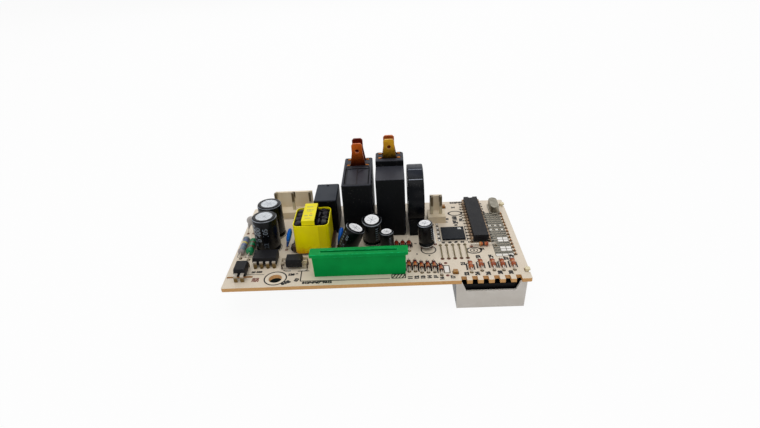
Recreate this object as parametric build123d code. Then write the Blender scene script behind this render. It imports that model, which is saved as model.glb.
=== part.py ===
from build123d import *
import os
from math import radians, sin

# Control board of a microwave oven: a single-sided board that carries the mains supply, three relays,
# a buzzer, a controller chip and, clipped under its right-hand end, the display in its holder.
#
# Millimetres. Places on the board are given from its front-left corner, X to the right, Y to the back,
# and heights from its component face. The row's origin is the centre of the mounting hole in that face.
#
# Leads are four-sided and round bodies many-sided, so that a board with over a hundred of them stays light.

os.makedirs("parts", exist_ok=True)

# ---- board ---------------------------------------------------------------------------------------
board_length = 118.5
board_depth = 63.1
board_thickness = 1.6
board_corner_cut = 0.4
hole_x = 20.1
hole_y = 5.4
hole_diameter = 5.2
isolation_slot_length = 10.2
isolation_slot_width = 1.0
isolation_slot_x = 5.7
isolation_slot_y = 7.2
comb_count = 6
comb_pitch = 4.14
comb_slot_width = 2.1
comb_slot_depth = 2.6
fit_clearance = 0.3
seat_gap = 0.25

# ---- display holder and display --------------------------------------------------------------------
holder_x = 103.3
holder_width = 27.0
holder_height = 12.1
holder_wall = 1.0
holder_draft = 2.0
holder_inset = 0.2
window_top_width = 22.0
window_bottom_width = 18.8
window_height = 3.9
bezel_width = 4.2
clip_y = 5.3
clip_thickness = 1.3
clip_width = 1.8
clip_hook = 0.5
clip_rise = 1.1
display_height = 9.4
display_end_gap = 0.5
display_pin_count = 14
pin_pitch = 2.54
display_pin_side = 0.5
display_pin_rise = 0.9
display_pin_x = 115.5
display_pin_y = 32.9

# ---- relays --------------------------------------------------------------------------------------
relay_base_height = 1.2
relay_base_inset = 0.5
case_corner = 0.4
case_edge = 0.35
vent_side = 1.2
vent_depth = 0.4
vent_setback = 2.0
relay_1_x = 52.05
relay_1_size = (12.5, 28.6, 25.0)
relay_rear_margin = 0.5
relay_1_front = board_depth - relay_rear_margin - relay_1_size[1]
relay_1_panel_depth = 16.0
relay_2_x = 66.1
relay_2_front = 33.8
relay_2_size = (12.1, 22.9, 29.6)
relay_2_step_height = 2.7
relay_2_step_depth = 13.6
small_relay_x = 38.0
small_relay_front = 37.7
small_relay_size = (9.8, 16.4, 16.5)
panel_recess = 0.35
panel_rim = 1.0
tab_thickness = 0.8
tab_width = 4.75
tab_foot_width = 6.3
tab_slot_width = 8.2
tab_blade_length = 4.2
tab_shoulder_length = 5.0
tab_hole_diameter = 1.7
tab_hole_sides = 8
tab_tip_chamfer = 0.8
tab_foot_rise = 0.4
tab_hole_drop = 3.5
relay_1_tab_rise = 10.3
relay_1_tab_rows = (20.3, 26.3)
relay_2_tab_rise = 8.6
relay_2_tab_rows = (16.6, 21.2)
tab_slot_depth = 0.8

# ---- buzzer --------------------------------------------------------------------------------------
buzzer_diameter = 26.0
buzzer_thickness = 6.8
buzzer_sides = 60
buzzer_x = 76.8
buzzer_y = 45.2
buzzer_lift = 1.3
buzzer_edge = 0.4
stand_height = 8.2
stand_length = 23.4
stand_width = 6.2

# ---- transformer -----------------------------------------------------------------------------------
transformer_x = 33.35
transformer_front = 21.0
transformer_width = 14.7
transformer_depth = 15.8
tape_thickness = 0.35
tape_bottom = 1.0
tape_top = 14.0
tape_corner_radius = 2.2
field_height = 13.2
ridge_height = 15.9
ridge_width = 5.3
ridge_offset = -0.8
ridge_end_gap = 0.5
rib_width_gap = 0.6
rib_thickness = 1.2
rib_height = 0.5
rib_pitch = 3.6
rail_width = 1.3
rail_height = 2.8
rail_lift = 0.6
rail_length = 12.0
transformer_pin_count = 4
transformer_pin_side = 0.7

# ---- capacitors ------------------------------------------------------------------------------------
can_sides = 36
sleeve_thickness = 0.15
sleeve_lift = 0.6
rim_roll = 0.6
mains_can_diameter = 10.0
mains_can_height = 15.6
mains_capacitor_places = ((13.6, 27.9), (13.7, 39.0))
# name: (x, y, can diameter, can height, height on its leads, lean to the right, lean to the back)
output_capacitors = {
    "output_capacitor_1": (46.9, 20.3, 7.7, 11.9, 2.0, 24.0, 1.5),
    "output_capacitor_2": (57.8, 29.2, 8.0, 11.8, 1.4, 1.0, -13.0),
    "output_capacitor_3": (63.9, 22.5, 5.5, 8.6, 0.8, 0.0, 0.0),
    "output_capacitor_4": (80.3, 23.8, 6.0, 10.4, 1.5, -4.0, 0.0),
}
capacitor_lead_spread = 0.32
capacitor_lead_side = 0.5
lead_entry = 0.5

# ---- ribbon connector --------------------------------------------------------------------------------
ribbon_x = 53.25
ribbon_front = 5.3
ribbon_body_width = 36.0
ribbon_body_depth = 3.6
ribbon_body_draft = 1.8
ribbon_flange_width = 37.8
ribbon_flange_depth = 5.0
ribbon_flange_height = 1.4
ribbon_flange_radius = 0.6
ribbon_height = 10.7
ribbon_slot_width = 29.4
ribbon_slot_gap = 1.0
ribbon_slot_depth = 6.5
ribbon_contact_count = 12
ribbon_contact_thickness = 0.4
ribbon_contact_width = 0.8
ribbon_contact_height = 4.5

# ---- pin headers with a locking wall --------------------------------------------------------------
header_pitch = 3.96
header_base_height = 3.1
header_base_depth = 6.0
header_wall_height = 10.7
header_wall_thickness = 1.2
header_wall_margin = 0.75
header_wall_slot = 1.3
header_wall_slot_depth = 3.6
header_pin_side = 1.14
header_pin_rise = 12.0
header_pin_setback = 3.3
header_pin_tip = 0.3
header_groove_depth = 0.5
mains_header_x = 20.7
mains_header_margin = 3.2
mains_header_front = board_depth - mains_header_margin - header_base_depth - header_wall_thickness
mains_header_way_count = 5
mains_header_pins = (0, 2, 4)
lamp_header_x = 86.15
lamp_header_front = 43.4
lamp_header_way_count = 2
lamp_header_pins = (0, 1)

# ---- chips -----------------------------------------------------------------------------------------
chip_row_spacing = 7.62
chip_lead_width = 1.4
chip_lead_thickness = 0.28
chip_body_depth = 6.4
chip_body_height = 3.2
chip_standoff = 0.5
small_chip_standoff = 1.1
chip_notch_radius = 1.1
chip_notch_depth = 0.5
chip_draft = 5
controller_x = 103.15
controller_y = 43.3
controller_pin_count = 28
controller_length = 34.7
supply_x = 14.6
supply_y = 16.8
supply_pin_count = 8
supply_length = 9.8
coupler_pin_count = 4
coupler_row_spacing = 10.16
coupler_length = 4.6
coupler_height = 3.5
coupler_1_x = 6.3
coupler_1_y = 9.0
coupler_2_x = 26.8
coupler_2_y = 13.3
square_chip_side = 9.8
square_chip_height = 0.9
square_chip_x = 92.2
square_chip_y = 33.4

# ---- crystal, discs, axial parts, jumpers --------------------------------------------------------------
crystal_x = 113.1
crystal_margin = 3.4
crystal_size = (3.8, 9.8, 3.6)
crystal_flange = 0.5
crystal_flange_height = 0.5
crystal_y = board_depth - crystal_margin - crystal_size[1] / 2 - crystal_flange
disc_diameter = 6.0
disc_thickness = 2.0
blue_disc_places = ((21.3, 27.2), (43.0, 26.3))
blue_disc_centre_height = 6.6
blue_disc_lean = 15.0
grey_disc_x = 2.9
grey_disc_y = 40.4
grey_disc_centre_height = 6.8
grey_disc_lean = 12.0
grey_disc_diameter = 4.8
disc_lead_spacing = 2.54
disc_end = 0.6
disc_slope = 55
disc_sides = 14
axial_lead_side = 0.5
axial_span = 7.62
axial_body_length = 3.8
axial_body_diameter = 1.9
axial_end_share = 0.18
axial_end_slope = 40
axial_sides = 8
axial_float = 0.1
front_row_x = 72.4
front_row_pitch = 2.47
front_row_pads = (7.0, 7.0, 6.0, 6.0, 6.0, 3.9)
right_row_places = ((96.4, 5.0), (100.5, 5.9), (105.2, 5.9), (108.8, 5.7), (113.0, 5.8))
back_row_x = 67.8
back_row_pitch = 2.6
back_row_count = 3
back_row_pad = 21.6
cross_diode_x = 103.8
cross_diode_y = 23.4
cross_diode_span = 10.16
power_resistor_x = 2.9
power_resistor_y = 28.0
power_resistor_length = 11.6
power_resistor_diameter = 3.0
power_resistor_span = 15.2
choke_x = 6.5
choke_y = 26.9
choke_length = 10.0
choke_diameter = 3.3
choke_span = 15.2
jumper_length = 10.0
jumper_x = 86.05
jumper_y = 15.0
jumper_count = 5
long_jumper_x = 84.0
long_jumper_y = 26.0
long_jumper_length = 16.0
jumper_rise = 0.35


def spot(x, y, z=0.0):
    """A place on the board, from its front-left corner, in the row's frame."""
    return Location((x - hole_x, y - hole_y, z))


def save(name, *solids):
    """Writes one node: a solid, or a group of separate solids."""
    shape = solids[0] if len(solids) == 1 else Compound(children=list(solids))
    export_step(shape, f"parts/{name}.step")


def block(width, depth, height, x, y, z):
    """A box that stands at height z, centred on a place on the board."""
    return spot(x, y, z) * Box(width, depth, height, align=(Align.CENTER, Align.CENTER, Align.MIN))


def top_edges(solid):
    return solid.edges().group_by(Axis.Z)[-1]


def wire(points, side):
    """A square lead that follows straight runs with mitred corners."""
    path = Polyline(*points)
    start = Plane(origin=path @ 0, z_dir=path % 0)
    return sweep(start * Rectangle(side, side), path=path, transition=Transition.RIGHT)


# ---- board -------------------------------------------------------------------------------------------
def clip_places():
    """Centre and side, -1 left or 1 right, of each clip that holds the display holder."""
    left = holder_x - holder_width / 2 + clip_thickness / 2
    right = holder_x + holder_width / 2 + clip_thickness / 2
    rows = (clip_y, board_depth - clip_y)
    return [(x, y, side) for x, side in ((left, -1), (right, 1)) for y in rows]


def make_board():
    middle = spot(board_length / 2, board_depth / 2, -board_thickness)
    blank = extrude(Rectangle(board_length, board_depth), board_thickness)
    blank = middle * chamfer(blank.edges().filter_by(Axis.Z), board_corner_cut)
    through = 2 * board_thickness
    blank -= spot(hole_x, hole_y) * Cylinder(hole_diameter / 2, through * 2)
    blank -= block(isolation_slot_length, isolation_slot_width, 2 * through,
                   isolation_slot_x, isolation_slot_y, -through)
    for index in range(comb_count):
        x = holder_x + (index - (comb_count - 1) / 2) * comb_pitch
        blank -= block(comb_slot_width, 2 * comb_slot_depth, 2 * through, x, 0, -through)
    for x, y, side in clip_places():
        width = clip_thickness + clip_hook + 2 * fit_clearance
        cut = block(width, clip_width + 2 * fit_clearance, 2 * through, x + side * clip_hook / 2, y, -through)
        blank -= cut
    return blank


# ---- display holder and display --------------------------------------------------------------------
def holder_outline(inset, depth_inset):
    return Rectangle(holder_width - 2 * inset, board_depth - 2 * holder_inset - 2 * depth_inset)


def make_holder():
    """A drafted tray that hangs under the board, with a front window and a bezel round the display."""
    top = spot(holder_x, board_depth / 2, -board_thickness)
    shell = top * extrude(holder_outline(0, 0), -holder_height, taper=holder_draft)
    inner = holder_outline(holder_wall, holder_wall)
    hollow = top * extrude(inner, -(holder_height - holder_wall), taper=holder_draft)
    view = holder_outline(bezel_width, bezel_width)
    shell -= hollow
    shell -= top * extrude(view, -holder_height)
    front = Plane(origin=spot(holder_x, 0, -board_thickness).position, x_dir=(1, 0, 0), z_dir=(0, -1, 0))
    half_top = window_top_width / 2
    half_bottom = window_bottom_width / 2
    window = Polygon((-half_top, 0), (half_top, 0), (half_bottom, -window_height),
                     (-half_bottom, -window_height), align=None)
    shell -= extrude(front * window, holder_wall * 2, both=True)
    for x, y, side in clip_places():
        shell += make_clip(x, y, side)
    return shell


def make_clip(x, y, side):
    """A sprung leg that passes up through the board, with a hook that grips its component face."""
    leg_height = board_thickness + clip_rise
    leg = block(clip_thickness, clip_width, leg_height, x, y, -board_thickness)
    hook_x = x + side * (clip_thickness + clip_hook) / 2
    hook = block(clip_hook, clip_width, clip_rise - fit_clearance, hook_x, y, fit_clearance)
    if side > 0:
        root_x = x - clip_thickness / 2
        leg += block(clip_thickness * 2, clip_width, holder_wall, root_x, y, -board_thickness - holder_wall)
    return leg + hook


def make_display():
    """The potted display module, with its face in the bezel's opening."""
    face = -board_thickness - holder_height + holder_wall
    depth = board_depth - 2 * (holder_inset + holder_wall + fit_clearance)
    width = holder_width - 2 * (holder_wall + fit_clearance) - 2 * holder_height * sin(radians(holder_draft))
    module = block(width, depth - 2 * display_end_gap, display_height, holder_x, board_depth / 2, face)
    lens_width = holder_width - 2 * bezel_width - 2 * fit_clearance
    lens_depth = board_depth - 2 * (holder_inset + bezel_width + fit_clearance)
    module += block(lens_width, lens_depth, holder_wall, holder_x, board_depth / 2, face - holder_wall)
    return module


def display_pins():
    """The ends of the display's pins, which stand out of the component face."""
    pins = []
    for index in range(display_pin_count):
        y = display_pin_y + (index - (display_pin_count - 1) / 2) * pin_pitch
        pins.append(block(display_pin_side, display_pin_side, display_pin_rise, display_pin_x, y, 0))
    return pins


# ---- relays ----------------------------------------------------------------------------------------
def relay_base(x, front, size):
    width, depth, _ = size
    return block(width - 2 * relay_base_inset, depth - 2 * relay_base_inset, relay_base_height,
                 x, front + depth / 2, 0)


def relay_body(x, front, size):
    width, depth, height = size
    case = block(width, depth, height - relay_base_height, x, front + depth / 2, relay_base_height)
    return chamfer(case.edges().filter_by(Axis.Z), case_corner)


def tab_slots(case, x, front, top, rows):
    """Cuts the narrow slots that the two terminals come up through."""
    for row in rows:
        cut = block(tab_slot_width, tab_thickness + 2 * fit_clearance,
                    2 * tab_slot_depth, x, front + row, top - tab_slot_depth)
        case -= cut
    return case


def make_relay_1():
    width, depth, height = relay_1_size
    case = relay_body(relay_1_x, relay_1_front, relay_1_size)
    case = chamfer(top_edges(case), case_edge)
    panel_y = relay_1_front + panel_rim + relay_1_panel_depth / 2
    case -= block(width - 2 * panel_rim, relay_1_panel_depth, 2 * panel_recess,
                  relay_1_x, panel_y, height - panel_recess)
    return tab_slots(case, relay_1_x, relay_1_front, height, relay_1_tab_rows)


def make_relay_2():
    width, depth, height = relay_2_size
    case = relay_body(relay_2_x, relay_2_front, relay_2_size)
    case -= block(2 * width, 2 * relay_2_step_depth, 2 * relay_2_step_height,
                  relay_2_x, relay_2_front, height - relay_2_step_height)
    case = chamfer(top_edges(case), case_edge)
    return tab_slots(case, relay_2_x, relay_2_front, height, relay_2_tab_rows)


def make_small_relay():
    case = relay_body(small_relay_x, small_relay_front, small_relay_size)
    case = chamfer(top_edges(case), case_edge)
    width, depth, height = small_relay_size
    vent_y = small_relay_front + depth - vent_setback
    return case - block(vent_side, vent_side, 2 * vent_depth, small_relay_x, vent_y, height - vent_depth)


def make_tab(x, y, top, rise):
    """A flat push-on terminal: a chamfered blade with a locking hole, on a foot with sloped shoulders."""
    root = -tab_slot_depth
    neck = rise - tab_blade_length
    foot = neck - tab_shoulder_length
    half = tab_width / 2
    half_foot = tab_foot_width / 2
    right = [(half_foot, root), (half_foot, max(foot, root + tab_foot_rise)), (half, neck),
             (half, rise - tab_tip_chamfer), (half - tab_tip_chamfer, rise)]
    left = [(-across, up) for across, up in reversed(right)]
    blade = make_face(Polyline(*right, *left, right[0]))
    blade -= Pos(0, rise - tab_hole_drop) * RegularPolygon(tab_hole_diameter / 2, tab_hole_sides)
    plane = Plane(origin=spot(x, y, top).position, x_dir=(1, 0, 0), z_dir=(0, -1, 0))
    return extrude(plane * blade, tab_thickness / 2, both=True)


# ---- buzzer ----------------------------------------------------------------------------------------
def buzzer_axis(x):
    height = buzzer_lift + buzzer_diameter / 2
    return Plane(origin=spot(x, buzzer_y, height).position, z_dir=(1, 0, 0))


def make_buzzer():
    """A round sounder that stands on edge."""
    outline = RegularPolygon(buzzer_diameter / 2, buzzer_sides)
    drum = extrude(buzzer_axis(buzzer_x) * outline, buzzer_thickness / 2, both=True)
    ends = drum.edges().group_by(Axis.X)
    return chamfer(ends[0] + ends[-1], buzzer_edge)


def make_stand():
    """A block with a round seat that the sounder sits in."""
    body = block(stand_width, stand_length, stand_height, buzzer_x, buzzer_y, 0)
    seat = Circle(buzzer_diameter / 2 + seat_gap)
    return body - extrude(buzzer_axis(buzzer_x) * seat, buzzer_thickness, both=True)


# ---- transformer -----------------------------------------------------------------------------------
def transformer_middle():
    return transformer_front + transformer_depth / 2


def transformer_outline(inset):
    width = transformer_width - 2 * inset
    depth = transformer_depth - 2 * inset
    return RectangleRounded(width, depth, tape_corner_radius - inset)


def ridge_depth():
    return transformer_depth - 2 * tape_thickness - 2 * ridge_end_gap


def make_tape():
    """The yellow wrap round the outside of the core, as a thin closed belt."""
    belt = transformer_outline(0) - transformer_outline(tape_thickness)
    return spot(transformer_x, transformer_middle(), tape_bottom) * extrude(belt, tape_top - tape_bottom)


def make_core():
    """The core halves in their former: dark fields inside the belt, with a ridge across the middle."""
    core = extrude(transformer_outline(tape_thickness), field_height - tape_bottom)
    core = spot(transformer_x, transformer_middle(), tape_bottom) * core
    core += block(ridge_width, ridge_depth(), ridge_height - field_height, transformer_x + ridge_offset,
                  transformer_middle(), field_height)
    for side in (-1, 1):
        edge = transformer_x + side * transformer_width / 2 - side * tape_thickness
        ridge_edge = transformer_x + ridge_offset + side * ridge_width / 2
        rib_x = (edge + ridge_edge) / 2
        rib_width = abs(edge - ridge_edge) - 2 * rib_width_gap
        for row in (-1, 0, 1):
            core += block(rib_width, rib_thickness, rib_height, rib_x, transformer_middle() + row * rib_pitch,
                          field_height)
    return core


def make_strap():
    """The tape that runs from front to back over the ridge."""
    depth = ridge_depth()
    middle = transformer_middle()
    x = transformer_x + ridge_offset
    strap = block(ridge_width, depth + 2 * tape_thickness, tape_thickness, x, middle, ridge_height)
    for side in (-1, 1):
        y = middle + side * (depth + tape_thickness) / 2
        strap += block(ridge_width, tape_thickness, ridge_height - tape_top, x, y, tape_top)
    return strap


def rail_x(side):
    return transformer_x + side * (transformer_width + rail_width) / 2


def make_bobbin():
    """The former's foot: a plate under the core with a terminal rail on each side."""
    middle = transformer_middle()
    foot = block(transformer_width, rail_length, tape_bottom - rail_lift, transformer_x, middle, rail_lift)
    for side in (-1, 1):
        foot += block(rail_width, rail_length, rail_height, rail_x(side), middle, rail_lift)
    return foot


def transformer_pins():
    pins = []
    step = rail_length / transformer_pin_count
    for side in (-1, 1):
        for index in range(transformer_pin_count):
            y = transformer_middle() + (index - (transformer_pin_count - 1) / 2) * step
            pins.append(block(transformer_pin_side, transformer_pin_side, rail_lift, rail_x(side), y, 0))
    return pins


# ---- capacitors ------------------------------------------------------------------------------------
def lean(x, y, z, right, back):
    """The frame of a part that leans to the right and to the back, in degrees."""
    return spot(x, y, z) * Rot(0, right, 0) * Rot(-back, 0, 0)


def make_can(radius, height):
    """An aluminium can with its rim rolled over."""
    can = extrude(RegularPolygon(radius, can_sides), height)
    return chamfer(top_edges(can), rim_roll)


def make_sleeve(radius, height):
    """The shrunk sleeve round the can, up to where its rim rolls over."""
    wall = RegularPolygon(radius + sleeve_thickness, can_sides) - RegularPolygon(radius, can_sides)
    return Pos(0, 0, sleeve_lift) * extrude(wall, height - rim_roll - sleeve_lift)


def capacitor_leads(frame, can, diameter):
    """Two upright leads from the board to the can's foot."""
    leads = []
    for side in (-1, 1):
        top = (frame * Pos(side * capacitor_lead_spread * diameter, 0, lead_entry)).position
        leads.append(wire([Vector(top.X, top.Y, 0), top], capacitor_lead_side) - can)
    return leads


# ---- connectors --------------------------------------------------------------------------------------
def make_ribbon_housing():
    """A drafted body with a wide flange on top and the slot that takes the flat cable."""
    y = ribbon_front + ribbon_body_depth / 2
    body_height = ribbon_height - ribbon_flange_height
    body = extrude(Rectangle(ribbon_body_width, ribbon_body_depth), -body_height, taper=ribbon_body_draft)
    housing = spot(ribbon_x, y, body_height) * body
    flange = RectangleRounded(ribbon_flange_width, ribbon_flange_depth, ribbon_flange_radius)
    housing += spot(ribbon_x, y, body_height) * extrude(flange, ribbon_flange_height)
    housing -= block(ribbon_slot_width, ribbon_slot_gap, 2 * ribbon_slot_depth, ribbon_x, y,
                     ribbon_height - ribbon_slot_depth)
    return housing


def ribbon_contacts():
    y = ribbon_front + ribbon_body_depth / 2
    floor = ribbon_height - ribbon_slot_depth
    contacts = []
    for index in range(ribbon_contact_count):
        x = ribbon_x + (index - (ribbon_contact_count - 1) / 2) * ribbon_slot_width / ribbon_contact_count
        back = y + (ribbon_slot_gap - ribbon_contact_thickness) / 2
        contacts.append(block(ribbon_contact_width, ribbon_contact_thickness, ribbon_contact_height,
                              x, back, floor))
    return contacts


def make_header(x, front, ways):
    """A pin header: a base with a tall locking wall behind the pins, slotted at each pin."""
    width = ways * header_pitch
    header = block(width, header_base_depth, header_base_height, x, front + header_base_depth / 2, 0)
    wall_width = (ways - 1) * header_pitch + 2 * header_wall_margin
    wall_y = front + header_base_depth + header_wall_thickness / 2
    wall = block(wall_width, header_wall_thickness, header_wall_height, x, wall_y, 0)
    header += wall
    header += block(width, header_wall_thickness, header_base_height, x, wall_y, 0)
    return header


def header_pin_x(x, ways, way):
    return x + (way - (ways - 1) / 2) * header_pitch


def finish_header(header, x, front, ways, used):
    """Slots the wall and opens the base for the pins that are fitted."""
    wall_y = front + header_base_depth
    for way in used:
        pin = header_pin_x(x, ways, way)
        header -= block(header_wall_slot, 2 * header_groove_depth, 2 * header_wall_slot_depth, pin, wall_y,
                        header_wall_height - header_wall_slot_depth)
    return header


def header_pins(x, front, ways, used):
    """Square pins with a chamfered tip, which stand on the base."""
    pins = []
    for way in used:
        pin = block(header_pin_side, header_pin_side, header_pin_rise - header_base_height,
                    header_pin_x(x, ways, way), front + header_pin_setback, header_base_height)
        pins.append(chamfer(top_edges(pin), header_pin_tip))
    return pins


# ---- chips -----------------------------------------------------------------------------------------
def make_chip_body(length, height, standoff, notch):
    """A moulded package about its own centre, its long side on Y, drafted both ways from the lead line."""
    middle = Rectangle(chip_body_depth, length)
    upper = extrude(middle, height / 2, taper=chip_draft)
    lower = extrude(middle, -height / 2, taper=chip_draft)
    body = Pos(0, 0, standoff + height / 2) * (upper + lower)
    if notch:
        top = standoff + height
        body -= Pos(0, length / 2, top) * Cylinder(chip_notch_radius, 2 * chip_notch_depth)
    return body


def make_chip_leads(pins, row_spacing, height, standoff):
    """Flat leads that leave the body's side and turn down to stand on the board."""
    level = standoff + height / 2
    inner = chip_body_depth / 2
    outer = row_spacing / 2 + chip_lead_thickness / 2
    reach = outer - inner
    leads = []
    count = pins // 2
    for index in range(count):
        y = (index - (count - 1) / 2) * pin_pitch
        shoulder = Pos(inner + reach / 2, 0, level) * Box(reach, chip_lead_width, chip_lead_thickness)
        leg_x = outer - chip_lead_thickness / 2
        lead = shoulder + Pos(leg_x, 0, level / 2) * Box(chip_lead_thickness, chip_lead_width, level)
        lead = Pos(0, y, 0) * lead
        leads += [lead, lead.rotate(Axis.Z, 180)]
    return leads


# ---- small parts -----------------------------------------------------------------------------------
def make_crystal():
    """A low metal can with round ends on a flanged base."""
    width, length, height = crystal_size
    can = extrude(SlotOverall(length, width, rotation=90), height - crystal_flange_height)
    flange = extrude(SlotOverall(length + 2 * crystal_flange, width + 2 * crystal_flange, rotation=90),
                     crystal_flange_height)
    return spot(crystal_x, crystal_y, 0) * (flange + Pos(0, 0, crystal_flange_height) * can)


def many_sided(radius, length, end, slope, sides):
    """A many-sided round body about its own centre, its axis on Z, that tapers over each end."""
    outline = RegularPolygon(radius, sides)
    half = length / 2 - end
    body = extrude(outline, half, both=True)
    tip = Pos(0, 0, half) * extrude(outline, end, taper=slope)
    return body + tip + mirror(tip, Plane.XY)


def make_disc(diameter, thickness, frame):
    """A dipped disc: a lens-shaped body on its own frame, its axis along the frame's X."""
    return frame * Rot(0, 90, 0) * many_sided(diameter / 2, thickness, disc_end, disc_slope, disc_sides)


def disc_leads(frame, disc, height, diameter, side_axis):
    """Two leads from the disc's lower rim, splayed to the board and cut off level with its face."""
    leads = []
    for side in (-1, 1):
        near = side_axis * side * disc_lead_spacing / 4
        far = side_axis * side * disc_lead_spacing / 2
        head = (frame * Pos(near + Vector(0, 0, height - diameter / 2 + lead_entry))).position
        foot = (frame * Pos(far - Vector(0, 0, lead_entry))).position
        lead = wire([foot, head], axial_lead_side) - disc
        leads.append(split(lead, bisect_by=Plane.XY, keep=Keep.TOP))
    return leads


def axial_lift(diameter):
    return diameter / 2 + axial_float


def axial_body(x, y, length, diameter, turn=0):
    """A small glass or moulded body that lies on the board, with rounded ends."""
    end = diameter * axial_end_share
    body = many_sided(diameter / 2, length, end, axial_end_slope, axial_sides)
    return spot(x, y, axial_lift(diameter)) * Rot(0, 0, turn) * Rot(90, 0, 0) * body


def axial_leads(x, y, length, diameter, span, turn=0):
    """Two leads: straight out of the body's ends, then down to the board."""
    leads = []
    lift = axial_lift(diameter)
    frame = spot(x, y, 0) * Rot(0, 0, turn)
    for side in (-1, 1):
        points = [(0, side * length / 2, lift), (0, side * span / 2, lift), (0, side * span / 2, 0)]
        leads.append(frame * wire(points, axial_lead_side))
    return leads


def jumper(x, y, length):
    """A bare link from hole to hole, just clear of the board."""
    lift = jumper_rise + axial_lead_side / 2
    points = [(x, y, 0), (x, y, lift), (x, y + length, lift), (x, y + length, 0)]
    return wire([spot(*point).position for point in points], axial_lead_side)


# ---- the assembly ------------------------------------------------------------------------------------
save("circuit_board", make_board())
save("display_holder", make_holder())
save("display_module", make_display())
save("display_pins", *display_pins())

save("relay_1_base", relay_base(relay_1_x, relay_1_front, relay_1_size))
save("relay_1_case", make_relay_1())
save("relay_2_base", relay_base(relay_2_x, relay_2_front, relay_2_size))
save("relay_2_case", make_relay_2())
save("small_relay_base", relay_base(small_relay_x, small_relay_front, small_relay_size))
save("small_relay_case", make_small_relay())
# x, front, height, terminal rows from the front, rise of the terminals
relays = (
    (relay_1_x, relay_1_front, relay_1_size[2], relay_1_tab_rows, relay_1_tab_rise),
    (relay_2_x, relay_2_front, relay_2_size[2], relay_2_tab_rows, relay_2_tab_rise),
)
for number, (x, front, height, rows, rise) in enumerate(relays, start=1):
    for place, row in zip(("front", "rear"), rows):
        save(f"relay_{number}_{place}_terminal", make_tab(x, front + row, height, rise))

save("buzzer_case", make_buzzer())
save("buzzer_stand", make_stand())

save("transformer_core", make_core())
save("transformer_tape", make_tape())
save("transformer_strap", make_strap())
save("transformer_bobbin", make_bobbin())
save("transformer_pins", *transformer_pins())

for number, (x, y) in enumerate(mains_capacitor_places, start=1):
    frame = spot(x, y, 0)
    save(f"mains_capacitor_{number}_can", frame * make_can(mains_can_diameter / 2, mains_can_height))
    save(f"mains_capacitor_{number}_sleeve", frame * make_sleeve(mains_can_diameter / 2, mains_can_height))
leads = []
for name, (x, y, diameter, height, stand, right, back) in output_capacitors.items():
    frame = lean(x, y, stand, right, back)
    can = frame * make_can(diameter / 2, height)
    save(f"{name}_can", can)
    save(f"{name}_sleeve", frame * make_sleeve(diameter / 2, height))
    leads += capacitor_leads(frame, can, diameter)
save("output_capacitor_leads", *leads)

save("ribbon_connector_housing", make_ribbon_housing())
save("ribbon_connector_contacts", *ribbon_contacts())
# name: (x, front, ways, ways with a pin)
headers = {
    "mains_header": (mains_header_x, mains_header_front, mains_header_way_count, mains_header_pins),
    "lamp_header": (lamp_header_x, lamp_header_front, lamp_header_way_count, lamp_header_pins),
}
for name, (x, front, ways, used) in headers.items():
    save(f"{name}_housing", finish_header(make_header(x, front, ways), x, front, ways, used))
    save(f"{name}_pins", *header_pins(x, front, ways, used))

def save_chip(name, frame, pins, length, standoff):
    body = make_chip_body(length, chip_body_height, standoff, True)
    save(f"{name}_body", frame * body)
    leads = make_chip_leads(pins, chip_row_spacing, chip_body_height, standoff)
    save(f"{name}_leads", *[frame * lead for lead in leads])


save_chip("controller_chip", spot(controller_x, controller_y), controller_pin_count, controller_length,
          chip_standoff)
save_chip("supply_chip", spot(supply_x, supply_y) * Rot(0, 0, 90), supply_pin_count, supply_length,
          small_chip_standoff)
leads = []
couplers = (spot(coupler_1_x, coupler_1_y) * Rot(0, 0, 90), spot(coupler_2_x, coupler_2_y))
for number, frame in enumerate(couplers, start=1):
    body = make_chip_body(coupler_length, coupler_height, small_chip_standoff, False)
    save(f"optocoupler_{number}_body", frame * body)
    pair = make_chip_leads(coupler_pin_count, coupler_row_spacing, coupler_height, small_chip_standoff)
    leads += [frame * lead for lead in pair]
save("optocoupler_leads", *leads)
save("square_chip",
     block(square_chip_side, square_chip_side, square_chip_height, square_chip_x, square_chip_y, 0))
save("crystal", make_crystal())

bodies = []
leads = []
for x, y in blue_disc_places:
    frame = spot(x, y) * Rot(0, blue_disc_lean, 0)
    disc = make_disc(disc_diameter, disc_thickness, frame * Pos(0, 0, blue_disc_centre_height))
    bodies.append(disc)
    leads += disc_leads(frame, disc, blue_disc_centre_height, disc_diameter, Vector(0, 1, 0))
save("blue_disc_capacitors", *bodies)
frame = spot(grey_disc_x, grey_disc_y) * Rot(0, grey_disc_lean, 0)
turned = frame * Pos(0, 0, grey_disc_centre_height) * Rot(0, 0, 90)
disc = make_disc(grey_disc_diameter, disc_thickness, turned)
save("grey_disc_capacitor", disc)
leads += disc_leads(frame, disc, grey_disc_centre_height, grey_disc_diameter, Vector(1, 0, 0))
save("disc_capacitor_leads", *leads)

leads = []
axial_rows = {
    "front_row_diodes": [(front_row_x + i * front_row_pitch, pad) for i, pad in enumerate(front_row_pads)],
    "right_row_resistors": right_row_places,
    "back_row_diodes": [(back_row_x + i * back_row_pitch, back_row_pad) for i in range(back_row_count)],
}
for name, row in axial_rows.items():
    middles = [(x, pad + axial_span / 2) for x, pad in row]
    save(name, *[axial_body(x, y, axial_body_length, axial_body_diameter) for x, y in middles])
    for x, y in middles:
        leads += axial_leads(x, y, axial_body_length, axial_body_diameter, axial_span)
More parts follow.
